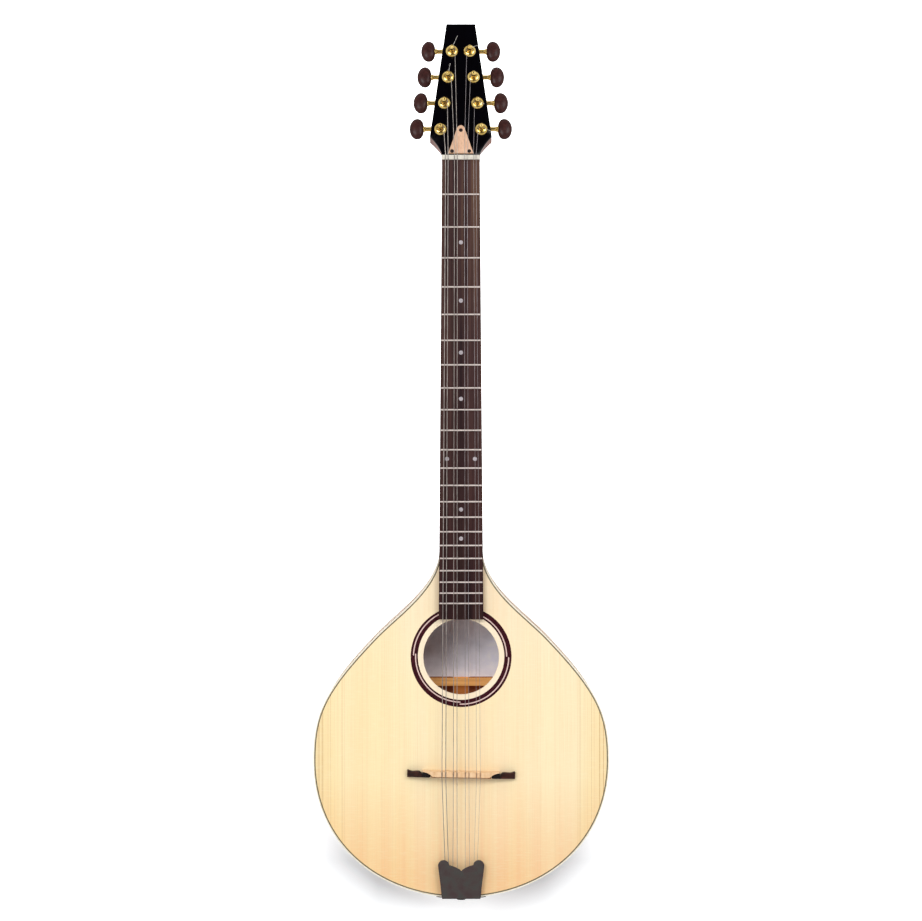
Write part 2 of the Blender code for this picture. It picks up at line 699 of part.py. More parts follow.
def notches(z_of, low_z, high_z, out_y):
    """Cutters that clear each string over the nut or the saddle."""
    bm = bmesh.new()
    for side, number, radius in string_specs():
        half = radius + GAP
        z = z_of(side * string_across(number, SADDLE_Z))
        x = side * string_across(number, z)
        floor = string_height(z) + radius + GAP
        notch = block("notch", (x - half, out_y, z + low_z), (x + half, floor, z + high_z))
        bm.from_mesh(notch.data)
        bpy.data.objects.remove(notch)
    cutter = solid("notches", [], [])
    bm.to_mesh(cutter.data)
    bm.free()
    return cutter


def make_nut(bone):
    half = FRETBOARD_WIDTH_AT_NUT / 2
    top = string_height(NUT_Z) - 0.0003
    low = (-half, top, NUT_Z + GAP)
    nut = block("nut", low, (half, NECK_FRONT_Y - GAP, NUT_BACK_Z))
    cutter = notches(lambda x: NUT_Z, -0.002, NUT_THICKNESS + 0.003, top - 0.002)
    finish(combine(nut, [cutter], "DIFFERENCE"), bone)


def make_bridge(ebony, maple):
    """A low dark foot with sloping wings, and the light bar on it that carries the strings."""
    half = BRIDGE_LENGTH / 2
    shoulder = BRIDGE_SHOULDER_HALF_LENGTH
    base = FRONT_Y - GAP
    profile = [
        (-half, base),
        (half, base),
        (half, base - BRIDGE_TIP_HEIGHT),
        (shoulder, base - BRIDGE_FOOT_HEIGHT),
        (-shoulder, base - BRIDGE_FOOT_HEIGHT),
        (-half, base - BRIDGE_TIP_HEIGHT),
    ]
    turn = Matrix.Translation((0, 0, SADDLE_Z)) @ Matrix.Rotation(BRIDGE_SLANT, 4, "Y")
    width = BRIDGE_WIDTH / 2
    foot = skin("bridge", [[(x, y, z) for x, y in profile] for z in (-width, width)])
    foot.data.transform(turn)
    finish(foot, ebony)
    low = base - BRIDGE_FOOT_HEIGHT - GAP
    top = string_height(SADDLE_Z) - SADDLE_LIP
    width = SADDLE_WIDTH / 2
    half = SADDLE_LENGTH / 2
    saddle = block("bridge_saddle", (-half, top, -width), (half, low, width))
    saddle.data.transform(turn)
    cutter = notches(saddle_line, -0.006, 0.006, top - 0.002)
    finish(combine(saddle, [cutter], "DIFFERENCE"), maple)


def make_tailpiece(bronze):
    """A folded sheet cap: lobed front plate, side walls, a hook bar inside and a strap over the tail."""
    low_z = TAIL_Z - GAP - TAILPIECE_SHEET
    top_z = TAIL_Z + TAILPIECE_TOP_ABOVE_TAIL
    radius = TAILPIECE_LOBE_RADIUS
    lobe_x = TAILPIECE_TOP_HALF_WIDTH - radius
    lobe_z = top_z - radius
    fold_z = low_z + TAILPIECE_FOLD_RISE
    right = [(TAILPIECE_FOOT_HALF_WIDTH, fold_z)]
    for i in range(7):
        angle = -0.15 + (math.radians(172) + 0.15) * i / 6
        right.append((lobe_x + radius * math.cos(angle), lobe_z + radius * math.sin(angle)))
    notch_z = TAIL_Z + TAILPIECE_NOTCH_ABOVE_TAIL
    right.append((TAILPIECE_SLOPE_MIDDLE, notch_z + TAILPIECE_SLOPE_RISE))
    right.append((0.0, notch_z))
    outline = right + [(-x, z) for x, z in reversed(right[:-1])]
    front = FRONT_Y - GAP - TAILPIECE_HEIGHT
    cap = plate("tailpiece", outline, front, front + TAILPIECE_SHEET)
    walls = []
    for sign in (-1, 1):
        start = (sign * (TAILPIECE_FOOT_HALF_WIDTH - TAILPIECE_SHEET), fold_z + TAILPIECE_SHEET / 2)
        end = (sign * (TAILPIECE_TOP_HALF_WIDTH - TAILPIECE_SHEET), lobe_z)
        walls.append(bar("wall", start, end, TAILPIECE_SHEET, front + TAILPIECE_SHEET / 2, FRONT_Y - GAP))
    strap = block(
        "strap",
        (-TAILPIECE_STRAP_HALF_WIDTH, FRONT_Y, low_z),
        (TAILPIECE_STRAP_HALF_WIDTH, FRONT_Y + TAILPIECE_STRAP_REACH, low_z + TAILPIECE_SHEET),
    )
    fold = block(
        "fold",
        (-TAILPIECE_FOOT_HALF_WIDTH + 0.0001, front + TAILPIECE_SHEET * 0.8, fold_z),
        (TAILPIECE_FOOT_HALF_WIDTH - 0.0001, FRONT_Y - GAP, fold_z + TAILPIECE_SHEET),
    )
    step = block(
        "step",
        (-TAILPIECE_FOOT_HALF_WIDTH + 0.0002, FRONT_Y - GAP - TAILPIECE_SHEET, low_z),
        (TAILPIECE_FOOT_HALF_WIDTH - 0.0002, FRONT_Y - GAP - 0.0001, fold_z + TAILPIECE_SHEET * 0.8),
    )
    tongue = block(
        "tongue",
        (-TAILPIECE_FOOT_HALF_WIDTH + 0.0003, FRONT_Y - GAP - TAILPIECE_SHEET / 2, low_z),
        (TAILPIECE_FOOT_HALF_WIDTH - 0.0003, FRONT_Y + TAILPIECE_SHEET, low_z + TAILPIECE_SHEET),
    )
    hook_z = TAIL_Z + STRING_END_ABOVE_TAIL - GAP - HOOK_BAR_THICKNESS
    half = TAILPIECE_FOOT_HALF_WIDTH - TAILPIECE_SHEET / 2
    hooks = block(
        "hooks",
        (-half, front + TAILPIECE_SHEET / 2, hook_z),
        (half, FRONT_Y - 2 * GAP, hook_z + HOOK_BAR_THICKNESS),
    )
    combine(cap, walls + [strap, fold, step, tongue, hooks], "UNION")
    finish(combine(cap, [pin_hole()], "DIFFERENCE"), bronze)


def make_end_pin(ebony):
    """The turned pin that holds the strap; its stem runs through strap, ribs and tail block."""
    strap_face = TAIL_Z - GAP - TAILPIECE_SHEET
    collar = strap_face - GAP
    profile = [
        (END_PIN_HEAD_RADIUS - 0.0008, 0.0),
        (END_PIN_HEAD_RADIUS, 0.0008),
        (END_PIN_HEAD_RADIUS, END_PIN_HEAD_HEIGHT - 0.0014),
        (END_PIN_WAIST_RADIUS, END_PIN_HEAD_HEIGHT),
        (END_PIN_WAIST_RADIUS, collar - 0.002),
        (END_PIN_HEAD_RADIUS, collar - 0.0006),
        (END_PIN_HEAD_RADIUS, collar),
        (END_PIN_STEM_RADIUS, collar),
        (END_PIN_STEM_RADIUS - 0.0003, TAIL_Z + TAIL_BLOCK_THICKNESS),
    ]
    finish(turned("end_pin", profile, 16), ebony, math.radians(40))


def tuner_places():
    """Every tuning machine as (side, number), numbered up from the nut, bass side first."""
    return [(side, number) for side in (-1, 1) for number in range(1, TUNERS_PER_SIDE + 1)]


def tuner_name(side, number):
    return f"{'bass' if side < 0 else 'treble'}_{number}"


def tuner_frame(side, number):
    """Matrix of a machine: X runs out along its shaft, Z out of the headstock along its post."""
    along = FIRST_TUNER_ALONG_HEADSTOCK + (number - 1) * TUNER_SPACING
    across = headstock_half_width(along) - TUNER_EDGE_DISTANCE / math.cos(EDGE_LEAN)
    place = Vector(headstock_point(side * across, along, 0.0))
    up = Vector(headstock_point(0, 0, 1)) - Vector(headstock_point(0, 0, 0))
    out = Vector((side, 0, 0))
    third = up.cross(out)
    turn = Matrix((out, third, up)).transposed().to_4x4()
    return Matrix.Translation(place) @ turn


def worm_mesh():
    """A one-start worm on its shaft: a thread surface worked out turn by turn, with blunt ends."""
    per_turn = WORM_STEPS_PER_TURN
    steps = int(WORM_TURNS * per_turn)
    shape = [
        (-WORM_CREST / 2 - WORM_FLANK, WORM_ROOT_RADIUS),
        (-WORM_CREST / 2, WORM_TIP_RADIUS),
        (WORM_CREST / 2, WORM_TIP_RADIUS),
        (WORM_CREST / 2 + WORM_FLANK, WORM_ROOT_RADIUS),
    ]
    middle = WORM_LEAD * steps / per_turn / 2
    verts = []
    for i in range(steps + 1):
        angle = 2 * math.pi * i / per_turn - math.pi * WORM_TURNS + math.pi
        for along, radius in shape:
            x = along + WORM_LEAD * i / per_turn - middle
            verts.append((x, radius * math.cos(angle), radius * math.sin(angle)))
    faces = []
    for i in range(steps):
        for j in range(3):
            a = 4 * i + j
            faces.append((a, a + 4, a + 5, a + 1))
    for i in range(steps - per_turn + 1):
        if i < steps - per_turn:
            low = 4 * i + 3
            high = 4 * (i + per_turn)
            faces.append((low, low + 4, high + 4, high))
    ends = []
    for start, column, x_end in ((0, 0, -middle - 0.0009), (steps - per_turn, 3, middle + 0.0009)):
        rim = [4 * (start + i) + column for i in range(per_turn)]
        ring = []
        for index in rim:
            _, y, z = verts[index]
            ring.append(len(verts))
            verts.append((x_end, y, z))
        for i in range(per_turn - 1):
            faces.append((rim[i], rim[i + 1], ring[i + 1], ring[i]))
        last = 4 * (start + per_turn) + column
        ends.append((rim, ring, last))
    rim, ring, last = ends[0]
    faces.append((rim[-1], last, ring[0], ring[-1]))
    faces.append((0, 1, 2, 3, last, ring[0]))
    rim, ring, last = ends[1]
    faces.append((rim[-1], last, ring[0], ring[-1]))
    tail = 4 * steps
    faces.append((rim[0], tail, tail + 1, tail + 2, last, ring[0]))
    return verts, faces, ends[0][1], ends[1][1]


def make_worm_shaft():
    """The worm with its inner journal and the shaft that runs out to the button."""
    verts, faces, inner, outer = worm_mesh()
    shaft_end = BUTTON_START + BUTTON_BORE_DEPTH - GAP
    inner_start = -HOUSING_HALF_LENGTH + HOUSING_WALL + GAP

    def extend(ring, radius, x):
        new = []
        for index in ring:
            _, y, z = verts[index]
            scale = radius / math.hypot(y, z)
            new.append(len(verts))
            verts.append((x, y * scale, z * scale))
        count = len(ring)
        for i in range(count):
            k = (i + 1) % count
            faces.append((ring[i], ring[k], new[k], new[i]))
        return new

    ring = extend(inner, JOURNAL_RADIUS, verts[inner[0]][0])
    ring = extend(ring, JOURNAL_RADIUS, inner_start)
    faces.append(tuple(ring))
    step = verts[outer[0]][0]
    ring = extend(outer, SHAFT_RADIUS, step)
    ring = extend(ring, SHAFT_RADIUS, shaft_end)
    faces.append(tuple(ring))
    return solid("worm_shaft", verts, faces)


def make_post():
    """The post that the string winds on, with its toothed wheel at the foot."""
    top = VENEER_THICKNESS + POST_HEIGHT_OVER_VENEER
    waist_low = VENEER_THICKNESS + POST_WAIST_FROM
    waist_high = VENEER_THICKNESS + POST_WAIST_TO
    profile = [
        (POST_RADIUS, WORM_LEVEL - WHEEL_THICKNESS / 2 - 0.0008),
        (POST_RADIUS, waist_low),
        (POST_WAIST_RADIUS, waist_low + POST_FLARE),
        (POST_WAIST_RADIUS, waist_high - POST_FLARE),
        (POST_RADIUS, waist_high),
        (POST_RADIUS, top - 0.0006),
        (POST_RADIUS - 0.0006, top),
    ]
    post = turned("tuner_post", profile, 10)
    lead = math.atan2(WORM_LEAD, 2 * math.pi * WORM_PITCH_RADIUS)
    twist = WHEEL_THICKNESS * math.tan(lead) / WHEEL_PITCH_RADIUS
    rings = []
    for level, turn in ((-WHEEL_THICKNESS / 2, -twist / 2), (WHEEL_THICKNESS / 2, twist / 2)):
        ring = []
        for tooth in range(WHEEL_TEETH):
            middle = math.pi / 2 + 2 * math.pi * (tooth + 0.5) / WHEEL_TEETH + turn
            half = WHEEL_TOOTH_TIP / 2 / WHEEL_TIP_RADIUS
            gap = middle + math.pi / WHEEL_TEETH
            for radius, angle in (
                (WHEEL_TIP_RADIUS, middle - half),
                (WHEEL_TIP_RADIUS, middle + half),
                (WHEEL_ROOT_RADIUS, gap),
            ):
                ring.append((radius * math.cos(angle), radius * math.sin(angle), WORM_LEVEL + level))
        rings.append(ring)
    wheel = skin("wheel", rings)
    return combine(post, [wheel], "UNION")


def make_housing(side):
    """The closed gear case with its threaded sleeve, washer and bushing, and the shaft's barrel."""
    worm_y = side * WORM_OFFSET
    room = WHEEL_TIP_RADIUS + 2 * GAP
    near = -side * (room + HOUSING_WALL)
    far = worm_y + side * (WORM_TIP_RADIUS + 2 * GAP + HOUSING_WALL)
    top = -HEADSTOCK_THICKNESS - GAP
    bottom = top - HOUSING_DEPTH
    chamfer = 0.0022
    low_y, high_y = min(near, far), max(near, far)
    rings = []
    for level, cut in ((top, 0.0), (bottom + chamfer, 0.0), (bottom, chamfer)):
        x = HOUSING_HALF_LENGTH - cut
        corner = 0.002
        y0, y1 = low_y + cut, high_y - cut
        outline = [
            (-x + corner, y0),
            (x - corner, y0),
            (x, y0 + corner),
            (x, y1 - corner),
            (x - corner, y1),
            (-x + corner, y1),
            (-x, y1 - corner),
            (-x, y0 + corner),
        ]
        rings.append([(px, py, level) for px, py in outline])
    case = skin("tuner_housing", rings)
    along_shaft = Matrix.Translation((0, worm_y, WORM_LEVEL)) @ Matrix.Rotation(math.pi / 2, 4, "Y")
    barrel = turned("barrel", [(BARREL_RADIUS, 0.004), (BARREL_RADIUS, BARREL_REACH)], 10)
    barrel.data.transform(along_shaft)
    washer = VENEER_THICKNESS + GAP
    cap = washer + WASHER_THICKNESS
    sleeve = turned(
        "sleeve",
        [
            (SLEEVE_RADIUS, top - 0.0006),
            (SLEEVE_RADIUS, washer),
            (WASHER_RADIUS, washer),
            (WASHER_RADIUS, cap),
            (BUSHING_RADIUS, cap),
            (BUSHING_RADIUS, cap + BUSHING_HEIGHT),
        ],
        12,
    )
    combine(case, [barrel, sleeve], "UNION")
    x = HOUSING_HALF_LENGTH - HOUSING_WALL
    cavity = block(
        "cavity",
        (-x, low_y + HOUSING_WALL, bottom + HOUSING_WALL),
        (x, high_y - HOUSING_WALL, top - HOUSING_WALL),
    )
    bore = POST_RADIUS + BORE_CLEARANCE
    post_bore = turned("post_bore", [(bore, WORM_LEVEL), (bore, cap + BUSHING_HEIGHT + 0.002)], 10)
    bore = SHAFT_RADIUS + BORE_CLEARANCE
    shaft_bore = turned("shaft_bore", [(bore, 0.001), (bore, BARREL_REACH + 0.002)], 10)
    shaft_bore.data.transform(along_shaft)
    return combine(case, [cavity, post_bore, shaft_bore], "DIFFERENCE")


def make_button():
    """A flattened oval button whose outline narrows towards the shaft, bored for the shaft."""
    stations = ((0.0, 0.34), (0.1, 0.58), (0.3, 0.9), (0.55, 1.0), (0.82, 0.78), (1.0, 0.32))
    rings = []
    for share, size in stations:
        x = BUTTON_START + share * BUTTON_LENGTH
        ring = []
        for y, z in circle(1.0, 10, 0.0):
            tall = BUTTON_HEIGHT / 2 * size * y
            thick = BUTTON_THICKNESS / 2 * (0.45 + 0.55 * size) * z
            ring.append((x, tall, thick))
        rings.append(ring)
    button = skin("tuner_button", rings)
    radius = SHAFT_RADIUS + GAP + 0.0001
    bore = turned("bore", [(radius, BUTTON_START - 0.002), (radius, BUTTON_START + BUTTON_BORE_DEPTH)], 10)
    bore.data.transform(Matrix.Rotation(math.pi / 2, 4, "Y"))
    return combine(button, [bore], "DIFFERENCE")


def copy_of(model, name, parent, turn=None):
    """A piece that shares its mesh with its model and hangs on an empty."""
    obj = bpy.data.objects.new(name, model.data)
    bpy.context.scene.collection.objects.link(obj)
    obj.parent = parent
    if turn is not None:
        obj.matrix_local = turn
    return obj


def make_tuners(gold, brown):
    """Eight machines. In each, the button turns a worm, and the worm turns the post's wheel."""
    shaft = finish(make_worm_shaft(), gold, math.radians(50))
    post = finish(make_post(), gold, math.radians(40))
    button = finish(make_button(), brown, math.radians(60))
    housings = {side: finish(make_housing(side), gold, math.radians(35)) for side in (-1, 1)}
    for side, number in tuner_places():
        name = tuner_name(side, number)
        base = bpy.data.objects.new(f"{name}_post_axis", None)
        base.matrix_world = tuner_frame(side, number)
        bpy.context.scene.collection.objects.link(base)
        worm = bpy.data.objects.new(f"{name}_button_axis", None)
        bpy.context.scene.collection.objects.link(worm)
        worm.parent = base
        place = Matrix.Translation((0, side * WORM_OFFSET, WORM_LEVEL))
        worm.matrix_local = place @ Matrix.Rotation(0 if side > 0 else math.pi, 4, "X")
        copy_of(housings[side], f"tuner_{name}_housing", base)
        copy_of(post, f"tuner_{name}_post", base)
        copy_of(shaft, f"tuner_{name}_worm_shaft", worm)
        copy_of(button, f"tuner_{name}_button", worm)
    for model in (shaft, post, button, *housings.values()):
        bpy.data.objects.remove(model)


def string_route(side, number, radius):
    """Points of one string: tailpiece, saddle, nut, then a helix down the post."""
    tail_x = side * STRING_HALF_SPREAD_AT_TAIL[number - 1]
    saddle_x = side * STRING_HALF_SPREAD_AT_SADDLE[number - 1]
    edge = saddle_line(saddle_x) - SADDLE_WIDTH / 2 - 0.0004
    end_y = FRONT_Y - STRING_ABOVE_SOUNDBOARD_AT_TAIL
    route = [
        Vector((tail_x, end_y, TAIL_Z + STRING_END_ABOVE_TAIL)),
        Vector((side * string_across(number, edge), string_height(edge), edge)),
        Vector((side * string_across(number, NUT_Z), string_height(NUT_Z), NUT_Z)),
    ]
    nut_exit = NUT_BACK_Z + 0.0006
    route.append(Vector((side * string_across(number, nut_exit), string_height(NUT_Z), nut_exit)))
    frame = tuner_frame(side, number)
    wind = POST_WAIST_RADIUS + GAP + radius
    climb = 2 * radius + STRING_TURN_CLEARANCE
    start = STRING_HEIGHT_AT_POST
    local = frame.inverted() @ route[-1]
    reach = math.hypot(local.x, local.y)
    toward = math.atan2(local.y, local.x)
    begin = toward - side * math.acos(wind / reach)
    steps = int(STRING_TURNS * STRING_POINTS_PER_TURN)
    for i in range(steps + 1):
        angle = begin - side * 2 * math.pi * i / STRING_POINTS_PER_TURN
        level = start - climb * i / STRING_POINTS_PER_TURN
        route.append(frame @ Vector((wind * math.cos(angle), wind * math.sin(angle), level)))
    run = (route[-1] - route[-2]).normalized()
    route.append(route[-1] + run * 2 * radius)
    return route


def least_turn_gap(route, radius):
    """The least clear distance between neighbouring turns, measured on the helix's points."""
    helix = route[4:-1]
    least = 1.0
    for i, a in enumerate(helix):
        for b in helix[i + STRING_POINTS_PER_TURN // 2:]:
            least = min(least, (a - b).length - 2 * radius)
    return least


def make_strings(steel):
    for side, number, radius in string_specs():
        route = string_route(side, number, radius)
        curve = bpy.data.curves.new(f"string_{tuner_name(side, number)}", "CURVE")
        curve.dimensions = "3D"
        curve.bevel_depth = radius
        curve.bevel_resolution = 1
        curve.use_fill_caps = True
        spline = curve.splines.new("POLY")
        spline.points.add(len(route) - 1)
        for point, place in zip(spline.points, route):
            point.co = (*place, 1.0)
        curve.materials.append(steel)
        obj = bpy.data.objects.new(curve.name, curve)
        bpy.context.scene.collection.objects.link(obj)
        gap = least_turn_gap(route, radius) * 1000
        print(f"{curve.name}: least gap between turns {gap:.2f} mm")


def main():
    clear_scene()
    spruce = material("spruce", (0.93, 0.78, 0.52), 0.35)
    brace_spruce = material("brace_spruce", (0.80, 0.62, 0.38), 0.6)
    mahogany = material("mahogany", (0.33, 0.13, 0.055), 0.35)
    rosewood = material("rosewood", (0.045, 0.02, 0.018), 0.45)
    ebony = material("ebony", (0.02, 0.012, 0.012), 0.4)
    maple = material("maple", (0.86, 0.66, 0.45), 0.4)
    black = material("black_lacquer", (0.008, 0.007, 0.012), 0.08)
    ivory = material("ivory_binding", (0.88, 0.83, 0.70), 0.35)
    bone = material("bone", (0.85, 0.86, 0.78), 0.35)
    gold = material("gold_plate", (0.80, 0.58, 0.22), 0.2, 1.0)
    brown = material("button_brown", (0.10, 0.03, 0.03), 0.25)
    bronze = material("dark_bronze", (0.09, 0.07, 0.065), 0.4, 0.6)
    steel = material("steel", (0.62, 0.58, 0.52), 0.3, 1.0)
    make_plates(spruce, mahogany)
    make_bindings(ivory)
    make_ribs(mahogany)
    make_blocks(brace_spruce, mahogany)
    make_braces(brace_spruce)
    make_neck(mahogany)
    make_truss_rod(steel)
    make_veneer(black)
    make_rod_cover(maple)
    make_fretboard(rosewood)
    make_nut(bone)
    make_bridge(ebony, maple)
    make_tailpiece(bronze)
    make_end_pin(ebony)
    make_tuners(gold, brown)
    make_strings(steel)


main()
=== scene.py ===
# %% [markdown]
# # An Irish bouzouki, seen from the front
# The mechanism is already built: its bodies and solids are loaded here as a fixed frame, in metres, with
# the neck along +Z and the soundboard facing -Y. This notebook dresses that frame. Every visible piece is
# made again as a fine surface worked out with numpy, gets a finish made of nodes, and rides on the body
# that carries it, so the tuning buttons and posts still turn.

# %% Load the frame
import math

import bmesh
import bpy
import numpy as np
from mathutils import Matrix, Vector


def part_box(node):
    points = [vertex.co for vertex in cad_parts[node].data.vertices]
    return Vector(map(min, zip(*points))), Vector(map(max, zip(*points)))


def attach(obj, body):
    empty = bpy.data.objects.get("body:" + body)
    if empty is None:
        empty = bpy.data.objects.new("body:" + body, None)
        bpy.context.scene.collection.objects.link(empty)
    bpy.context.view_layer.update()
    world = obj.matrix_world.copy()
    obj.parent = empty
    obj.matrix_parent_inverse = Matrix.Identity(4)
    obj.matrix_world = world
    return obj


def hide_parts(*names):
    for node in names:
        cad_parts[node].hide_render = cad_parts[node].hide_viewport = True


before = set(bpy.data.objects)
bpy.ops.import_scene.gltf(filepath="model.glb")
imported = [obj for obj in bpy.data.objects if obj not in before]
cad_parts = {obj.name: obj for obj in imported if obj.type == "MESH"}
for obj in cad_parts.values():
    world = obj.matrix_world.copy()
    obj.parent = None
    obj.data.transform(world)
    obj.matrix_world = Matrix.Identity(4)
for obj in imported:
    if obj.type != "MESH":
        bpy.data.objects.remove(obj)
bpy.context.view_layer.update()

scene = bpy.context.scene

# %% [markdown]
# ## Camera
# The photograph was taken from straight ahead and from far away, so that the lines of the neck hardly
# converge. A long lens three metres in front of the strings gives that view. The height and the lens
# follow from the scale of the picture: how many millimetres one pixel covers at the fretboard.

# %% Camera
PICTURE_WIDTH = 922
METRES_PER_PIXEL = 0.0010537
CAMERA_DISTANCE = 3.0
CAMERA_HEIGHT = 0.4706
CAMERA_ROLL = math.radians(0.03)
SENSOR_WIDTH = 36.0
FRETBOARD_Y = -0.0525


def add_object(name, data):
    """A new object in the scene."""
    made = bpy.data.objects.new(name, data)
    scene.collection.objects.link(made)
    return made


camera_data = bpy.data.cameras.new("camera")
camera_data.sensor_width = SENSOR_WIDTH
camera_data.lens = SENSOR_WIDTH * CAMERA_DISTANCE / (PICTURE_WIDTH * METRES_PER_PIXEL)
camera = add_object("camera", camera_data)
camera.location = (0.0, FRETBOARD_Y - CAMERA_DISTANCE, CAMERA_HEIGHT)
camera.rotation_euler = (math.pi / 2, CAMERA_ROLL, 0.0)
scene.camera = camera
scene.view_settings.view_transform = "Standard"
print("lens:", round(camera_data.lens, 1), "mm")

# %% [markdown]
# ## Surfaces from arrays
# A tube, a plank or a binding strip is a grid of points: one row for each place along the path and one
# column for each point of the section. The helpers below turn such a grid into a closed mesh. Blender's
# own primitives could be stretched to these shapes, but a grid keeps every size in one formula.

# %% Grids and pieces
def join(*values):
    """Numbers or arrays, one for each direction, as one array of places."""
    return np.stack(np.broadcast_arrays(*values), axis=-1)


def full_turn(count):
    """Angles round a circle in even steps."""
    return np.linspace(0.0, 2 * math.pi, count, endpoint=False)


def closed_skin(grid, joined=False):
    """Rings of points as one closed shell: the last ring meets the first, or both ends get a flat cap.
    Each face joins a point with the next one in its ring and with both in the next ring."""
    rows, columns = grid.shape[:2]
    row = np.arange(rows if joined else rows - 1)[:, None]
    column, next_column = np.arange(columns), (np.arange(columns) + 1) % columns
    start, after = row * columns, (row + 1) % rows * columns
    cells = join(start + column, start + next_column, after + next_column, after + column)
    faces = cells.reshape(-1, 4).tolist()
    if not joined:
        faces += [list(range(columns)), list(range((rows - 1) * columns, rows * columns))]
    return grid.reshape(-1, 3), faces


def gather(shapes):
    """Several shells as one shape, with each shell's face numbers moved past the points before it."""
    faces, start = [], 0
    for points, shape_faces in shapes:
        faces += [[start + i for i in face] for face in shape_faces]
        start += len(points)
    return np.concatenate([shape[0] for shape in shapes]), faces


def make_piece(name, shape, finish, body="root", replaces=(), sharp=35.0, uv=None):
    """A finished piece in its place, with outward faces, that rides on a body."""
    points, faces = shape
    mesh = bpy.data.meshes.new(name)
    mesh.from_pydata(np.round(points, 8).tolist(), [], faces)
    if uv is not None:
        layer = mesh.uv_layers.new(name="along")
        loop_vertices = np.empty(len(mesh.loops), int)
        mesh.loops.foreach_get("vertex_index", loop_vertices)
        layer.data.foreach_set("uv", uv[loop_vertices].ravel())
    sculpt = bmesh.new()
    sculpt.from_mesh(mesh)
    bmesh.ops.recalc_face_normals(sculpt, faces=sculpt.faces)
    sculpt.to_mesh(mesh)
    sculpt.free()
    mesh.shade_smooth()
    mesh.set_sharp_from_angle(angle=math.radians(sharp))
    mesh.materials.append(finish)
    piece = add_object(name, mesh)
    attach(piece, body)
    if replaces:
        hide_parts(*replaces)
    print(f"{name}: {len(points)} points")


# %% [markdown]
# ## Outlines and edges
# Real edges are never razor sharp: a worn or polished edge catches a thin line of light. Corners of an
# outline become short curves, and a plate's rim is rounded by drawing the outline in while it rises.

# %% Outlines
def rounded(corners, radius, steps=5, closed=True):
    """Every corner becomes a quadratic curve that leaves each side within radius of the corner."""
    corners = np.asarray(corners, float)
    reach = np.reshape(radius, (-1, 1))
    ends = []
    for shift in (1, -1):
        side = np.roll(corners, shift, axis=0) - corners
        length = np.linalg.norm(side, axis=1, keepdims=True)
        ends.append((corners + side / length * np.minimum(reach, 0.48 * length))[:, None])
    t = np.linspace(0.0, 1.0, steps)[None, :, None]
    curve = (1 - t) ** 2 * ends[0] + 2 * t * (1 - t) * corners[:, None] + t ** 2 * ends[1]
    if closed:
        return curve.reshape(-1, corners.shape[1])
    middle = curve[1:-1].reshape(-1, corners.shape[1])
    return np.concatenate([corners[:1], middle, corners[-1:]])


def box_outline(left, right, low, high, radius, steps):
    """A rectangle with rounded corners, anticlockwise from its lower left."""
    return rounded([(left, low), (right, low), (right, high), (left, high)], radius, steps)


def arc(radius, start, end, count, centre=(0.0, 0.0)):
    """Points of a circle from one angle to another, anticlockwise."""
    angle = np.linspace(start, end, count)
    return join(centre[0] + radius * np.cos(angle), centre[1] + radius * np.sin(angle))


def flip(outline):
    """The mirror image of one half of an outline, run back from its far end."""
    return outline[::-1] * [-1.0, 1.0]


def inset(outline, distance, closed=True):
    """Every point moves to the left of its direction of travel, square to the outline."""
    run = np.gradient(outline, axis=0)
    if closed:
        run = np.roll(outline, -1, axis=0) - np.roll(outline, 1, axis=0)
    run = run / np.linalg.norm(run, axis=1, keepdims=True)
    return outline + join(-run[:, 1], run[:, 0]) * distance


def rim(thickness, edge, steps=4):
    """Pairs of inset and height: straight up, then a quarter circle in to the flat face."""
    turn = np.linspace(0.0, math.pi / 2, steps)
    arc_in = join(edge * (1 - np.cos(turn)), thickness - edge + edge * np.sin(turn))
    return np.concatenate([[[0.0, 0.0]], arc_in])


def slab(outline, levels, place):
    """Rings of an outline, drawn in and raised level by level; place turns across, up, out into x, y, z."""
    rings = [(inset(outline, distance), height) for distance, height in levels]
    return closed_skin(np.stack([place(ring[:, 0], ring[:, 1], height) for ring, height in rings]))


def turned(profile, place, segments=40):
    """A lathe surface: each radius and height pair of the profile is swept round the local Z axis."""
    profile = np.asarray(profile, float)
    angle = full_turn(segments)
    radius, height = profile[:, :1], profile[:, 1:]
    return closed_skin(place(radius * np.cos(angle), radius * np.sin(angle), height))


def tube(path, radius, sides):
    """A round wire: a circle square to the path's direction at every point of it."""
    run = np.gradient(path, axis=0)
    run /= np.linalg.norm(run, axis=1, keepdims=True)
    helper = np.where(np.abs(run[:, 2:]) < 0.9, [[0.0, 0.0, 1.0]], [[1.0, 0.0, 0.0]])
    first = np.cross(run, helper)
    first /= np.linalg.norm(first, axis=1, keepdims=True)
    second = np.cross(run, first)
    angle = full_turn(sides)[:, None]
    ring = np.cos(angle) * first[:, None] + np.sin(angle) * second[:, None]
    return closed_skin(path[:, None] + radius * ring)


def travelled(path):
    """How far along the path each of its points lies."""
    return np.concatenate([[0.0], np.cumsum(np.linalg.norm(np.diff(path, axis=0), axis=1))])


def cubic(start, pull_start, pull_end, end, steps=200):
    """Points of a cubic curve, as the weighted mean of its four corners."""
    t = np.linspace(0.0, 1.0, steps)[:, None]
    corners = [np.asarray(p, float) for p in (start, pull_start, pull_end, end)]
    weights = [(1 - t) ** 3, 3 * (1 - t) ** 2 * t, 3 * (1 - t) * t ** 2, t ** 3]
    return sum(w * p for w, p in zip(weights, corners))


def look_up(targets, lengths, path):
    """The places on a path, whose points lie at known lengths, for other lengths."""
    return join(*[np.interp(targets, lengths, values) for values in path.T])


def even(path, count):
    """The same path with count points at equal steps of its length."""
    path = path[np.diff(travelled(path), prepend=-1.0) > 1e-9]
    length = travelled(path)
    return look_up(np.linspace(0.0, length[-1], count), length, path)


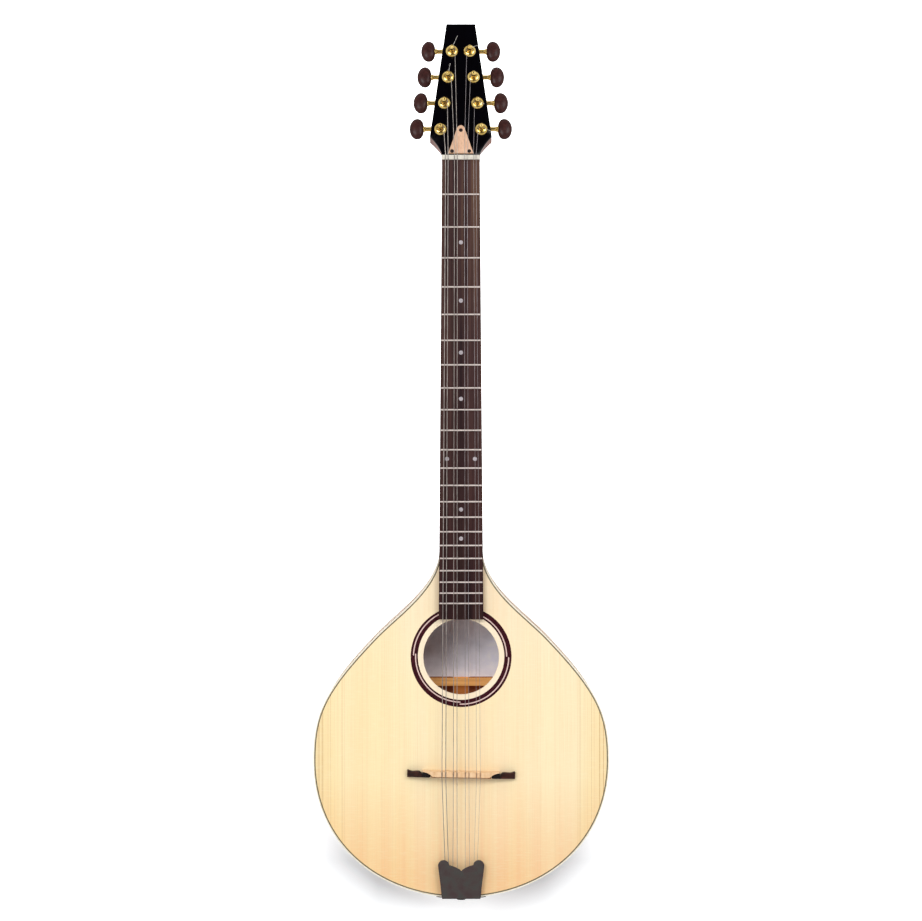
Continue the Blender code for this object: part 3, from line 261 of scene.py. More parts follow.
# %% [markdown]
# ## Finishes
# A finish is a small tree of nodes on the piece's own object coordinates, which here are metres in the
# instrument's frame. Wood is a noise field stretched hard along the grain, so that it becomes streaks, with
# a finer one for the pores. Colours are written as they look on a screen and turned into light values.

# %% Node helpers
COAT_ROUGHNESS, NOISE_ROUGHNESS = 0.12, 0.55


def light(red, green, blue):
    """Screen values from 0 to 255 as linear light: the standard curve with a power of 2.4."""
    value = np.array([red, green, blue]) / 255.0
    linear = np.where(value <= 0.04045, value / 12.92, ((value + 0.055) / 1.055) ** 2.4)
    return (*linear.tolist(), 1.0)


def new_finish(name, color, roughness, metallic=0.0, coat=0.0, gloss=0.5):
    """A material with one colour. The functions below add their nodes to the finish that was made last."""
    global finish
    finish = bpy.data.materials.new(name)
    finish.use_nodes = True
    finish.diffuse_color = color
    values = {
        "Base Color": color, "Roughness": roughness, "Metallic": metallic, "Coat Weight": coat,
        "Coat Roughness": COAT_ROUGHNESS, "Specular IOR Level": gloss,
    }
    for key, value in values.items():
        finish.node_tree.nodes["Principled BSDF"].inputs[key].default_value = value


def node(kind, output=0, settings=None, **values):
    """One output of a new node, whose inputs are numbers, colours or the outputs of other nodes."""
    made = finish.node_tree.nodes.new("ShaderNode" + kind)
    for key, value in (settings or {}).items():
        setattr(made, key, value)
    for key, value in values.items():
        socket = made.inputs[int(key[1:]) if key[0] == "_" else key.replace("_", " ")]
        if isinstance(value, bpy.types.NodeSocket):
            finish.node_tree.links.new(value, socket)
        else:
            socket.default_value = value
    return made.outputs[output]


def connect(**outputs):
    """The finish, with outputs joined to the inputs of its shader."""
    shader = finish.node_tree.nodes["Principled BSDF"]
    for key, output in outputs.items():
        finish.node_tree.links.new(output, shader.inputs[key.replace("_", " ")])
    return finish


def axis(name):
    """One of the object coordinates X, Y and Z."""
    return node("SeparateXYZ", name, Vector=node("TexCoord", "Object"))


def distance(centre):
    """How far a point lies from the centre, seen from the front."""
    flat = node("CombineXYZ", X=axis("X"), Z=axis("Z"))
    return node("VectorMath", "Value", {"operation": "DISTANCE"}, _0=flat, _1=centre)


def maths(operation, *values):
    """One operation on numbers or outputs."""
    return node("Math", 0, {"operation": operation}, **{f"_{i}": v for i, v in enumerate(values)})


def noise(scale, detail, place=None):
    """Noise at the object's coordinates, or at another place, with cycles per metre for each direction."""
    place = node("TexCoord", "Object") if place is None else place
    place = node("Mapping", Vector=place, Scale=scale)
    return node("TexNoise", "Fac", Vector=place, Scale=1.0, Detail=detail, Roughness=NOISE_ROUGHNESS)


def ramp(factor, *stops):
    """A colour ramp; stops are pairs of place and colour."""
    output = node("ValToRGB", "Color", Fac=factor)
    elements = output.node.color_ramp.elements
    while len(elements) < len(stops):
        elements.new(0.5)
    for element, stop in zip(elements, stops):
        element.position, element.color = stop
    return output


def mix(factor, first, second, mode="MIX"):
    """Two colours mixed, or multiplied."""
    return node("Mix", 2, {"data_type": "RGBA", "blend_type": mode}, _0=factor, _6=first, _7=second)


def span(value, low, high, from_low=0.0, from_high=1.0):
    """A value carried from one range to another."""
    ends = {"From_Min": from_low, "From_Max": from_high, "To_Min": low, "To_Max": high}
    return node("MapRange", "Result", Value=value, **ends)


def bump(height, depth, strength):
    """A normal that leans with a pattern of heights."""
    return node("Bump", "Normal", Height=height, Strength=strength, Distance=depth)


def paint_over(share, color):
    """A second colour over the finish's own one, by a share from 0 to 1."""
    own = finish.node_tree.nodes["Principled BSDF"].inputs["Base Color"].links[0].from_socket
    connect(Base_Color=mix(share, own, light(*color)))


# %% [markdown]
# The soundboard is two mirrored halves of spruce. Its growth rings stand on edge, so they show as thin
# straight lines along the neck, close together at the middle seam and further apart towards the edges.
# Reading the pattern at the distance from the seam mirrors it, as the real halves are.

# %% Spruce
TAIL_Z = 0.0085
HOLE_Z = TAIL_Z + 0.2549
BOARD_EDGE = 0.157
SEAM_POWER = 0.8
ACROSS_SHADE = [
    (0.02, (0.94, 0.95, 0.94, 1.0)), (0.08, (1.0, 0.99, 0.95, 1.0)), (0.15, (0.985, 0.935, 0.84, 1.0)),
    (0.24, (1.0, 0.965, 0.88, 1.0)), (0.36, (1.0, 1.0, 1.0, 1.0)), (0.62, (1.0, 0.965, 0.965, 1.0)),
    (0.8, (1.0, 0.985, 0.985, 1.0)), (0.96, (0.97, 0.98, 1.0, 1.0)),
]


def make_spruce():
    """Drifting patches and shades of the whole board, and on them the growth lines, fibres and silk."""
    new_finish("spruce_top", light(250, 230, 186), 0.38, coat=0.25)
    x, z = axis("X"), axis("Z")
    away = maths("ABSOLUTE", x)
    halves = node("CombineXYZ", X=maths("POWER", away, SEAM_POWER), Y=axis("Y"), Z=z)
    grains = ((760.0, 0.5, 1.0), (1500.0, 14.0, 2.0), (9.0, 1.6, 2.0), (70.0, 0.8, 1.0))
    rings, fibre, patch, band = [noise((a, a, b), detail, halves) for a, b, detail in grains]
    silk = noise((90.0, 90.0, 700.0), 2.0)
    low = span(z, 1.0, 0.0, 0.03, 0.135)
    peach = maths("MULTIPLY", span(band, 0.0, 0.7, 0.42, 0.7), span(low, 0.25, 0.9))
    line = span(away, 0.10, 1.0, 0.122, 0.142)
    line = maths("MULTIPLY", span(rings, 0.0, 1.0, 0.56, 0.66), line)
    patches = light(251, 220, 162), light(253, 230, 176), light(254, 236, 193)
    color = ramp(patch, *zip((0.36, 0.5, 0.64), patches))
    color = mix(peach, color, light(252, 210, 164))
    color = mix(low, color, mix(1.0, color, light(248, 228, 212), "MULTIPLY"))
    color = mix(span(z, 0.0, 0.65, 0.22, 0.35), color, light(252, 234, 208))
    across = span(x, 0.0, 1.0, -BOARD_EDGE, BOARD_EDGE)
    color = mix(1.0, color, ramp(across, *ACROSS_SHADE), "MULTIPLY")
    layers = [
        (line, (204, 162, 108)),
        (span(fibre, 0.0, 0.45, 0.45, 0.75), (240, 206, 154)),
        (span(silk, 0.0, 0.16, 0.5, 0.7), (255, 246, 214)),
        (span(distance((0.0, 0.0, HOLE_Z)), 0.75, 0.0, 0.0456, 0.0462), (252, 234, 207)),
    ]
    for share, tone in layers:
        color = mix(share, color, light(*tone))
    return connect(Base_Color=color, Roughness=span(fibre, 0.32, 0.46), Normal=bump(fibre, 0.00004, 0.2))


# %% Other woods
def wood_noise(kind, pair, detail):
    """Noise along the grain of a plank, of two halves mirrored at the seam, or of a bent board."""
    across, along = pair
    if kind == "bent":
        place = node("UVMap", "UV", {"uv_map": "along"})
        return noise((along, across, across), detail, place)
    place = node("TexCoord", "Object")
    if kind == "matched":
        place = node("VectorMath", 0, {"operation": "ABSOLUTE"}, _0=place)
    return noise((across, across, along), detail, place)


def make_wood(name, pale, dark, roughness, streak, pores, kind="plank", fade=None, **shine):
    """Streaks and pores: each pair is cycles per metre across and along the grain. A fade multiplies a tone
    in below a height."""
    pale, dark = light(*pale), light(*dark)
    new_finish(name, pale, roughness, **shine)
    broad = wood_noise(kind, streak, 5.0)
    pore = span(wood_noise(kind, pores, 3.0), 0.0, 1.0, 0.56, 0.7)
    tint = ramp(broad, (0.3, dark), (0.7, pale))
    color = mix(span(pore, 0.0, 0.55), tint, dark)
    if fade:
        share = span(axis("Z"), 0.0, 1.0, fade[0], fade[1])
        color = mix(share, mix(1.0, color, light(*fade[2]), "MULTIPLY"), color)
    return connect(
        Base_Color=color, Roughness=span(broad, roughness - 0.06, roughness + 0.08),
        Normal=bump(span(pore, 1.0, 0.0), 0.0002, 0.25),
    )


SPRUCE = make_spruce()
BRACE_SPRUCE = make_wood("brace_spruce", (234, 178, 104), (210, 150, 80), 0.6, (90, 4), (900, 30))
MAHOGANY = make_wood("mahogany", (166, 96, 50), (116, 60, 30), 0.36, (60, 4), (900, 26), coat=0.35)
RIB_WOOD, BACK_WOOD = [
    make_wood(name, (166, 96, 50), (120, 63, 32), 0.36, (90, 4), (1100, 26), kind, coat=0.35)
    for name, kind in (("rib_mahogany", "bent"), ("back_mahogany", "matched"))
]
NECK_WOOD = make_wood(
    "neck_mahogany", (132, 76, 56), (98, 52, 38), 0.36, (110, 5), (1100, 40), coat=0.15, gloss=0.3,
)
INLAY_ROSEWOOD = make_wood(
    "inlay_rosewood", (68, 21, 31), (40, 10, 17), 0.5, (420, 420), (1600, 1600), gloss=0.06,
)
FOOT_WOOD = make_wood("bridge_foot", (170, 108, 56), (112, 64, 32), 0.45, (60, 300), (900, 900))
MAPLE = make_wood("saddle_maple", (240, 204, 162), (222, 178, 130), 0.42, (300, 90), (1200, 300))
COVER_MAPLE = make_wood("cover_maple", (240, 200, 166), (206, 160, 130), 0.4, (800, 3), (1800, 12), coat=0.2)

# %% [markdown]
# Two woods get a second colour. On the ebony it is painted shade: it turns darker towards the bridge's
# middle, beside and under the light bar.
# The rosewood has a few long streaks of lighter brown, most of all high up on the treble side.

# %% Ebony and rosewood
EBONY = make_wood("bridge_ebony", (70, 34, 24), (18, 8, 7), 0.4, (150, 260), (1500, 1500), gloss=0.2)
# Painted shade: the scrolls darken towards the middle, next to the light bar.
paint_over(span(maths("ABSOLUTE", axis("X")), 1.0, 0.0, 0.0405, 0.0435), (18, 10, 10))
ROSEWOOD = make_wood(
    "fretboard_rosewood", (82, 57, 54), (40, 25, 28), 0.6, (240, 4), (1700, 40), gloss=0.08,
    fade=(0.28, 0.62, (190, 168, 172)),
)
streaks = span(noise((120.0, 95.0, 2.4), 2.0), 0.0, 0.6, 0.48, 0.62)
for name, least, low, high in (("X", 0.4, -0.004, 0.010), ("Z", 0.2, 0.55, 0.76)):
    streaks = maths("MULTIPLY", streaks, span(axis(name), least, 1.0, low, high))
paint_over(streaks, (110, 82, 64))
print("woods:", len(bpy.data.materials))


# %% Plain and metal finishes
BRACE_FOOT_Z = 0.2262


def make_plain(name, color, second, roughness, change=0.06, grain=180.0, **shine):
    """A moulded or polished finish with a soft mottle, fine dust of roughness and a faint bump."""
    new_finish(name, light(*color), roughness, **shine)
    mottle = noise((grain, grain, grain), 5.0)
    return connect(
        Base_Color=ramp(mottle, (0.32, light(*second)), (0.68, light(*color))),
        Roughness=span(mottle, roughness - change, roughness + change), Normal=bump(mottle, 0.00003, 0.2),
    )


def make_patina():
    """Dark bronze whose patina drifts between three tones, with fine dark specks."""
    tones = light(66, 52, 52), light(68, 60, 58), light(65, 64, 61)
    new_finish("tailpiece_bronze", tones[1], 0.42, gloss=0.3)
    cloud = noise((130.0, 130.0, 130.0), 3.0)
    fine = noise((700.0, 700.0, 700.0), 4.0)
    tint = ramp(cloud, *zip((0.36, 0.5, 0.64), tones))
    return connect(
        Base_Color=mix(span(fine, 0.0, 0.5, 0.4, 0.8), tint, tones[0]),
        Roughness=span(fine, 0.34, 0.5), Normal=bump(fine, 0.00004, 0.3),
    )


def make_metal(name, color, worn, roughness):
    """Plated metal: the plating's colour drifts towards worn metal, and fine scratches spread the shine."""
    new_finish(name, (*color, 1.0), roughness, metallic=1.0)
    wear = noise((240.0, 240.0, 240.0), 4.0)
    scratch = noise((900.0, 900.0, 900.0), 3.0)
    return connect(
        Base_Color=ramp(wear, (0.35, (*worn, 1.0)), (0.62, (*color, 1.0))),
        Roughness=span(scratch, roughness - 0.05, roughness + 0.1), Normal=bump(scratch, 0.00001, 0.15),
    )


def make_inside(name, color, second, grain, low, high, shade):
    """A rough finish for what is seen through the hole, with painted shade below the brace. Its faint glow is
    painted light: it stands for the light that falls in through the hole, and grows towards the lower right."""
    new_finish(name, light(*color), 0.8)
    fibre = noise(grain, 5.0)
    tint = ramp(fibre, (0.32, light(*second)), (0.68, light(*color)))
    # Painted shade: darker below the brace's foot.
    below = span(axis("Z"), 1.0, 0.0, BRACE_FOOT_Z, BRACE_FOOT_Z + 0.0008)
    tint = mix(below, tint, mix(1.0, tint, light(*shade), "MULTIPLY"))
    # Painted light: a glow that grows towards the lower right, where light falls in through the hole.
    slope = maths("SUBTRACT", axis("X"), axis("Z"))
    return connect(
        Base_Color=tint, Emission_Color=tint, Emission_Strength=span(slope, low, high, -0.30, -0.21),
        Roughness=span(fibre, 0.74, 0.86), Normal=bump(fibre, 0.00003, 0.2),
    )


PURFLING = make_plain("dark_purfling", (120, 108, 78), (92, 80, 56), 0.5, grain=600.0)
BINDING = make_plain("ivory_binding", (250, 244, 228), (238, 228, 206), 0.3, 0.03, coat=0.3)
BLACK = make_plain("black_lacquer", (3, 2, 6), (2, 1, 3), 0.08, 0.02, gloss=0.1)
BONE = make_plain("nut_bone", (226, 220, 206), (204, 198, 186), 0.35, 0.04, 500.0)
PEARL = make_plain("dot_pearl", (198, 190, 192), (156, 148, 156), 0.25, 0.05, 900.0, coat=0.2)
LINE_MAPLE = make_plain("rosette_line", (232, 204, 196), (212, 180, 172), 0.45, 0.05, 700.0)
BUTTON = make_plain("button_brown", (68, 36, 33), (44, 22, 21), 0.3, 0.05, 420.0, gloss=0.16)
SCREW_DARK = make_plain("dark_screw", (36, 24, 22), (31.56, 20.62, 18.82), 0.45, 0.05, 900.0, gloss=0.2)
FRET_WIRE = make_plain("fret_wire", (230, 217, 210), (206, 192, 186), 0.3, 0.04, 900.0)
# The label and the inner braces glow with painted light; the braces also get painted shade below their foot.
PAPER = make_inside(
    "paper_label", (230, 229, 238), (206, 206, 216), (60.0, 60.0, 60.0), 0.04, 0.38, (255, 255, 255),
)
INNER_SPRUCE = make_inside(
    "inner_brace", (232, 172, 104), (196, 138, 76), (12.0, 400.0, 400.0), 0.0, 0.54, (190, 160, 135),
)
TAIL_BRONZE = make_patina()
GOLD = make_metal("gold_plate", (0.80, 0.60, 0.22), (0.57, 0.38, 0.10), 0.16)
STEEL = make_metal("plain_steel", (0.46, 0.44, 0.40), (0.3, 0.28, 0.26), 0.36)

# %% [markdown]
# Each of the wound strings is a steel core with fine bronze wire laid round it. The winding is far finer
# than a pixel, so it is a bump that follows the string's own length, kept in a UV map.

# %% Wound strings
WINDING_PITCH = 0.0005
COIL_LENGTH = 0.044
GOLD_REFLECTION_COLOR = (0.42, 0.26, 0.08, 1.0)


def make_string_finish(name, color, worn, ridge):
    """Metal with ridges of the winding; on the turns round the post a brown tint is painted in, as a painted
    reflection of the gold around them.
    """
    new_finish(name, (*color, 1.0), 0.3, metallic=1.0)
    uv = node("UVMap", "UV", {"uv_map": "along"})
    scale = 0.5 / WINDING_PITCH / math.pi
    wave = node("TexWave", "Fac", {"bands_direction": "X"}, Vector=uv, Scale=scale)
    wear = noise((120.0, 120.0, 60.0), 3.0)
    tint = ramp(wear, (0.35, (*worn, 1.0)), (0.65, (*color, 1.0)))
    from_end = node("SeparateXYZ", "X", Vector=uv)
    # Painted reflection: the wire on and near the post takes the gold's brown.
    post_reflection = span(from_end, 1.0, 0.0, COIL_LENGTH, COIL_LENGTH + 0.006)
    color = mix(post_reflection, tint, GOLD_REFLECTION_COLOR)
    return connect(Base_Color=color, Roughness=span(wear, 0.3, 0.42), Normal=bump(wave, 0.0001, ridge))


WOUND = make_string_finish("wound_bronze", (0.45, 0.41, 0.38), (0.30, 0.27, 0.25), 0.3)
PLAIN = make_string_finish("plain_steel_string", (0.45, 0.42, 0.43), (0.31, 0.28, 0.29), 0.02)
print("finishes:", len(bpy.data.materials))

# %% [markdown]
# ## The body's outline
# One half of the teardrop is three cubic curves: round the tail to the widest place, in along the flank,
# and out into the neck. Both halves together are laid out again at equal steps along the edge, so that
# strips and walls that follow it have even faces.

# %% Body outline
GAP = 0.0003
BODY_LENGTH = 0.369
JOINT_Z = TAIL_Z + BODY_LENGTH
BODY_HALF_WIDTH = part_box("binding_front")[1][0]
FRONT_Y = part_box("soundboard")[0][1]
BACK_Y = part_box("back_plate")[1][1]
PLATE_THICKNESS = 0.003
WIDEST_Z = TAIL_Z + 0.145
TAIL_PULL = 0.084
LOWER_PULL, UPPER_PULL = 0.091, 0.048
FLARE = np.array([0.0916, TAIL_Z + 0.2746])
FLARE_ANGLE = math.radians(46.2)
FLARE_DIRECTION = np.array([-math.cos(FLARE_ANGLE), math.sin(FLARE_ANGLE)])
FLARE_LOWER_PULL, FLARE_UPPER_PULL = 0.0795, 0.037
JOINT_PULL = 0.041
EDGE_STEPS = 360
NUT_Z = 0.7876
BOARD_END_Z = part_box("fretboard")[0][2]
BOARD_HALF_AT_NUT, BOARD_HALF_AT_END = 0.0200, 0.0236


def board_half_width(z):
    """The fretboard widens evenly from the nut to its lower end."""
    share = (NUT_Z - z) / (NUT_Z - BOARD_END_Z)
    return BOARD_HALF_AT_NUT + (BOARD_HALF_AT_END - BOARD_HALF_AT_NUT) * share


def make_body_edge():
    """The edge from the bass side of the neck joint, round the tail, to the treble side of the joint."""
    half, widest = BODY_HALF_WIDTH, (BODY_HALF_WIDTH, WIDEST_Z)
    before, after = FLARE - FLARE_LOWER_PULL * FLARE_DIRECTION, FLARE + FLARE_UPPER_PULL * FLARE_DIRECTION
    joint = (board_half_width(JOINT_Z), JOINT_Z)
    side = np.concatenate([
        cubic((0.0, TAIL_Z), (TAIL_PULL, TAIL_Z), (half, WIDEST_Z - LOWER_PULL), widest),
        cubic(widest, (half, WIDEST_Z + UPPER_PULL), before, FLARE),
        cubic(FLARE, after, (joint[0], JOINT_Z - JOINT_PULL), joint),
    ])
    return even(np.concatenate([flip(side), side]), EDGE_STEPS + 1)


BODY_EDGE = make_body_edge()
EDGE_PLACES = travelled(BODY_EDGE)
EDGE_LENGTH = EDGE_PLACES[-1]


def edge_strip(insets, levels, first=0, last=EDGE_STEPS + 1):
    """A strip along the edge whose section has a corner for each inset and depth; ends are capped."""
    paths = [inset(BODY_EDGE, distance, closed=False)[first:last] for distance in insets]
    return closed_skin(np.stack([join(path[:, 0], y, path[:, 1]) for path, y in zip(paths, levels)], axis=1))


def closed_edge(distance):
    """The inset edge, closed by a straight line across the neck joint."""
    path = inset(BODY_EDGE, distance, closed=False)
    return np.concatenate([path, np.linspace(path[-1], path[0], 14)[1:-1]])


def on_front(x, z, out):
    """Places on the soundboard: across, up, and out of its face."""
    return join(x, FRONT_Y - out, z)


print("edge length:", round(float(EDGE_LENGTH), 3), "m")

# %% [markdown]
# ## Soundboard
# A flat plate with a round hole is hard to cover with even faces by hand. Here each row runs straight from
# the hole's rim to the body's edge, and the rows go once round, so the plate is a closed ring. Its section
# rounds over a little at the hole, as a sanded edge does.

# %% Soundboard
HOLE_RADIUS = 0.0399
BINDING_WIDTH, PURFLING_WIDTH = 0.0013, 0.0013
FACE_SHARES = [0.0, 0.0, 0.002, 0.006, 0.06, 0.2, 0.4, 0.6, 0.8, 1.0, 1.0, 0.5, 0.02]
FACE_OUTS = [-0.0026, -0.0005, -0.0001, 0, 0, 0, 0, 0, 0, 0, -0.003, -0.003, -0.003]


def make_soundboard():
    """Rows from rim to edge: place = rim + share x (edge - rim), with the section's depth added."""
    outer = closed_edge(BINDING_WIDTH + PURFLING_WIDTH)
    away = outer - [0.0, HOLE_Z]
    inner = [0.0, HOLE_Z] + HOLE_RADIUS * away / np.linalg.norm(away, axis=1, keepdims=True)
    flat = inner[:, None] + np.array(FACE_SHARES)[:, None] * (outer - inner)[:, None]
    return closed_skin(on_front(flat[..., 0], flat[..., 1], np.array(FACE_OUTS)), joined=True)


make_piece("soundboard_top", make_soundboard(), SPRUCE, replaces=["soundboard"])

# %% [markdown]
# ## Rosette
# Round the hole lies a dark ring let into the spruce. In it runs a thin light line that steps from one
# radius to another at each quarter, so each quarter is its own arc with round ends. Ring and line stand a
# few hundredths of a millimetre proud of the wood, as fresh inlay does.

# %% Rosette
RING_INNER, RING_OUTER = 0.0457, 0.0533
LINE_OUTER, LINE_INNER = 0.0503, 0.0481
LINE_HALF = 0.0006
INLAY_SUNK, INLAY_PROUD = -0.001, 0.00006
QUARTERS = [
    (LINE_OUTER, 92.0, 178.0),
    (LINE_INNER, 177.0, 268.6),
    (LINE_OUTER, 268.8, 358.5),
    (LINE_INNER, 0.5, 88.0),
]


def make_ring():
    """A flat ring: four corners of its section swept once round the hole."""
    angle = full_turn(160)[:, None]
    radius = np.array([RING_INNER, RING_OUTER, RING_OUTER, RING_INNER])
    out = np.array([INLAY_SUNK, INLAY_SUNK, INLAY_PROUD, INLAY_PROUD])
    return closed_skin(on_front(radius * np.cos(angle), HOLE_Z + radius * np.sin(angle), out), joined=True)


def arc_line(radius, start, end):
    """A strip with round ends, drawn straight and then bent so that its length runs round the hole."""
    half_length = math.radians(end - start) * radius / 2
    cap = arc(LINE_HALF, -math.pi / 2, math.pi / 2, 9, (half_length, 0.0))
    upper = join(np.linspace(half_length, -half_length, 60)[1:-1], LINE_HALF)
    middle = math.radians(start + end) / 2

    def bend(along, across, out):
        """The strip's length laid round the hole: angle = middle - length / radius."""
        turn = middle - along / radius
        return on_front((radius + across) * np.cos(turn), HOLE_Z + (radius + across) * np.sin(turn), out)

    return slab(np.concatenate([cap, upper, -cap, -upper]), [(0.0, INLAY_SUNK), (0.0, 2 * INLAY_PROUD)], bend)


make_piece("rosette_ring", make_ring(), INLAY_ROSEWOOD)
make_piece("rosette_line", gather([arc_line(*quarter) for quarter in QUARTERS]), LINE_MAPLE)

# %% [markdown]
# ## Edge binding
# A pale strip closes the plate's end grain, with a thin dark line inside it. Both are strips that follow
# the body's edge. The binding's outer corner is rounded, because a hand rubs it smooth.

# %% Bindings and purfling
CORNER = 0.0008
LINE_PROUD = 0.00003
turn = np.linspace(0.0, math.pi / 2, 6)
inner = BINDING_WIDTH + PURFLING_WIDTH
strip_insets = [0.0, *(CORNER * (1 - np.sin(turn))), BINDING_WIDTH, BINDING_WIDTH]
strip_depths = np.array([PLATE_THICKNESS, *(CORNER * (1 - np.cos(turn)))[::-1], 0.0, PLATE_THICKNESS])
line_insets = [BINDING_WIDTH, BINDING_WIDTH, inner, inner]
line_depths = np.array([PLATE_THICKNESS, -LINE_PROUD, -LINE_PROUD, PLATE_THICKNESS])
for side, face_y, toward in (("front", FRONT_Y, 1.0), ("back", BACK_Y, -1.0)):
    strip = edge_strip(strip_insets, face_y + toward * strip_depths)
    make_piece(f"{side}_edge_strip", strip, BINDING, replaces=[f"binding_{side}"])
    line = edge_strip(line_insets, face_y + toward * line_depths)
    make_piece(f"{side}_edge_line", line, PURFLING)

# %% [markdown]
# ## Ribs, linings and back
# The ribs are thin boards bent to the outline. A kerfed lining, sawn nearly through every few millimetres
# so that it bends, is glued along each edge to carry the plates. The kerfs are rows of the same strip whose
# inner corner is drawn back towards the rib.

# %% Ribs and back
RIB_THICKNESS = 0.0023
BINDING_OVERHANG = 0.0012
LINING_WIDTH, LINING_HEIGHT = 0.006, 0.012
KERF_PITCH, KERF_WIDTH = 0.0070, 0.0011
KERF_REACH, KERF_HEIGHT = 0.16, 0.9
KERF_SLOPE = 0.00002
INNER_FRONT_Y = FRONT_Y + PLATE_THICKNESS
INNER_BACK_Y = BACK_Y - PLATE_THICKNESS
MIDDLE_STEP = EDGE_STEPS // 2
EDGE_ROOM_AT_TAIL, EDGE_ROOM_AT_NECK = 0.052, 0.062


def kerfed_lining(side, face_y, toward):
    """A triangular strip in steps: full for a tooth's length, then nearly cut through for a kerf."""
    teeth = np.arange(EDGE_ROOM_AT_NECK, EDGE_LENGTH / 2 - EDGE_ROOM_AT_TAIL - KERF_PITCH, KERF_PITCH)
    tooth = KERF_PITCH - KERF_WIDTH
    along = (teeth[:, None] + [0.0, tooth, tooth + KERF_SLOPE, KERF_PITCH - KERF_SLOPE]).ravel()
    reach = np.tile([1.0, 1.0, KERF_REACH, KERF_REACH], len(teeth))
    places = along if side < 0 else EDGE_LENGTH - along
    even_places = np.linspace(0.0, EDGE_LENGTH, len(BODY_EDGE))
    near, far = [
        look_up(places, even_places, inset(BODY_EDGE, depth, closed=False))
        for depth in (RIB_THICKNESS, RIB_THICKNESS + LINING_WIDTH)
    ]
    corners = []
    for share, height in ((0.0, 0.0), (1.0, 0.0), (1.0, 0.12), (0.0, 1.0)):
        point = near + (share * reach)[:, None] * (far - near)
        tall = LINING_HEIGHT * height * np.where(reach < 1, KERF_HEIGHT, 1.0)
        corners.append(join(point[:, 0], face_y + toward * tall, point[:, 1]))
    return closed_skin(np.stack(corners, axis=1))


insets = [BINDING_OVERHANG, BINDING_OVERHANG, RIB_THICKNESS, RIB_THICKNESS]
levels = [INNER_FRONT_Y, INNER_BACK_Y, INNER_BACK_Y, INNER_FRONT_Y]
for name, side, first, last in (("bass", -1, 0, MIDDLE_STEP + 1), ("treble", 1, MIDDLE_STEP, EDGE_STEPS + 1)):
    wall = edge_strip(insets, levels, first, last)
    uv = join(EDGE_PLACES[first:last, None], levels).reshape(-1, 2)
    make_piece(f"{name}_rib_wall", wall, RIB_WOOD, replaces=[f"rib_{name}"], uv=uv)
    linings = [kerfed_lining(side, INNER_FRONT_Y, 1.0), kerfed_lining(side, INNER_BACK_Y, -1.0)]
    make_piece(f"{name}_linings", gather(linings), BRACE_SPRUCE)

back_outline = closed_edge(BINDING_WIDTH + PURFLING_WIDTH)
back_board = slab(
    back_outline, [(0.0, 0.0), (0.0, PLATE_THICKNESS)], lambda x, z, out: join(x, INNER_BACK_Y + out, z),
)
make_piece("back_board", back_board, BACK_WOOD, replaces=["back_plate"])
INSIDE = {
    "top_brace": BRACE_SPRUCE, "back_braces": INNER_SPRUCE, "tail_block": BRACE_SPRUCE,
    "neck_block": MAHOGANY, "truss_rod": STEEL,
}
for name, material in INSIDE.items():
    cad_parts[name].data.materials[0] = material

# %% [markdown]
# ## Paper label
# A bare sheet of paper is glued to the back under the hole. It lies over the back's centre strip, so its
# surface rises over the strip with a soft slope on each side: depth = back - step x ramp(distance).

# %% Paper label
LABEL_HALF_WIDTH = 0.050
LABEL_BOTTOM_Z, LABEL_TOP_Z = 0.2359, 0.3020
STRIP_HALF_WIDTH, SLOPE_HALF_WIDTH, STRIP_RISE = 0.008, 0.013, 0.0026
PAPER_THICKNESS, PAPER_GAP = 0.00025, 0.00005


def make_label():
    """For each place across, a ring that runs up the back of the sheet and down its front."""
    x = np.linspace(-LABEL_HALF_WIDTH, LABEL_HALF_WIDTH, 81)[:, None]
    z = np.linspace(LABEL_BOTTOM_Z, LABEL_TOP_Z, 21)
    share = np.clip((SLOPE_HALF_WIDTH - np.abs(x)) / (SLOPE_HALF_WIDTH - STRIP_HALF_WIDTH), 0.0, 1.0)
    y = INNER_BACK_Y - GAP - PAPER_GAP - STRIP_RISE * share ** 2 * (3 - 2 * share)
    return closed_skin(np.concatenate([join(x, y, z), join(x, y - PAPER_THICKNESS, z[::-1])], axis=1))


make_piece("paper_label", make_label(), PAPER)

# %% [markdown]
# ## Neck and headstock
# Heel, shaft and headstock are one carved piece. Its section is half of a rounded shape whose exponent says
# how square it is: 1 gives half an ellipse, 0.5 a fuller back, and close to 0 a board. Sections are laid
# along the neck and then along the headstock, which leans back, so the same surface runs right through.

# %% Neck
NECK_FRONT_Y = FRETBOARD_Y + 0.0065
NUT_BACK_Z = NUT_Z + 0.005
HEEL_LENGTH, HEEL_POWER = 0.075, 2.4
DEPTH_AT_NUT, DEPTH_AT_HEEL = 0.0155, 0.0185
HEEL_DEPTH = BACK_Y - 0.0015 - NECK_FRONT_Y
TILT = math.radians(13)
HEAD_UP = np.array([0.0, -math.cos(TILT), math.sin(TILT)])
HEAD_RISE = np.array([0.0, math.sin(TILT), math.cos(TILT)])
HEAD_LENGTH, HEAD_THICKNESS = 0.147, 0.0135
HEAD_HALF_AT_NUT, HEAD_HALF_AT_SHOULDER, HEAD_HALF_AT_TOP = 0.0202, 0.0328, 0.0154
SHOULDER, SHOULDER_POWER = 0.0208, 1.5
EDGE_LEAN = math.atan2(HEAD_HALF_AT_SHOULDER - HEAD_HALF_AT_TOP, HEAD_LENGTH - SHOULDER)
UNDERCUT = 0.0026


def on_head(x, along, out):
    """Places on the headstock: across, along its length, and out of its wooden face."""
    y = NECK_FRONT_Y + along * math.sin(TILT) - out * math.cos(TILT)
    return join(x, y, NUT_BACK_Z + along * math.cos(TILT) + out * math.sin(TILT))


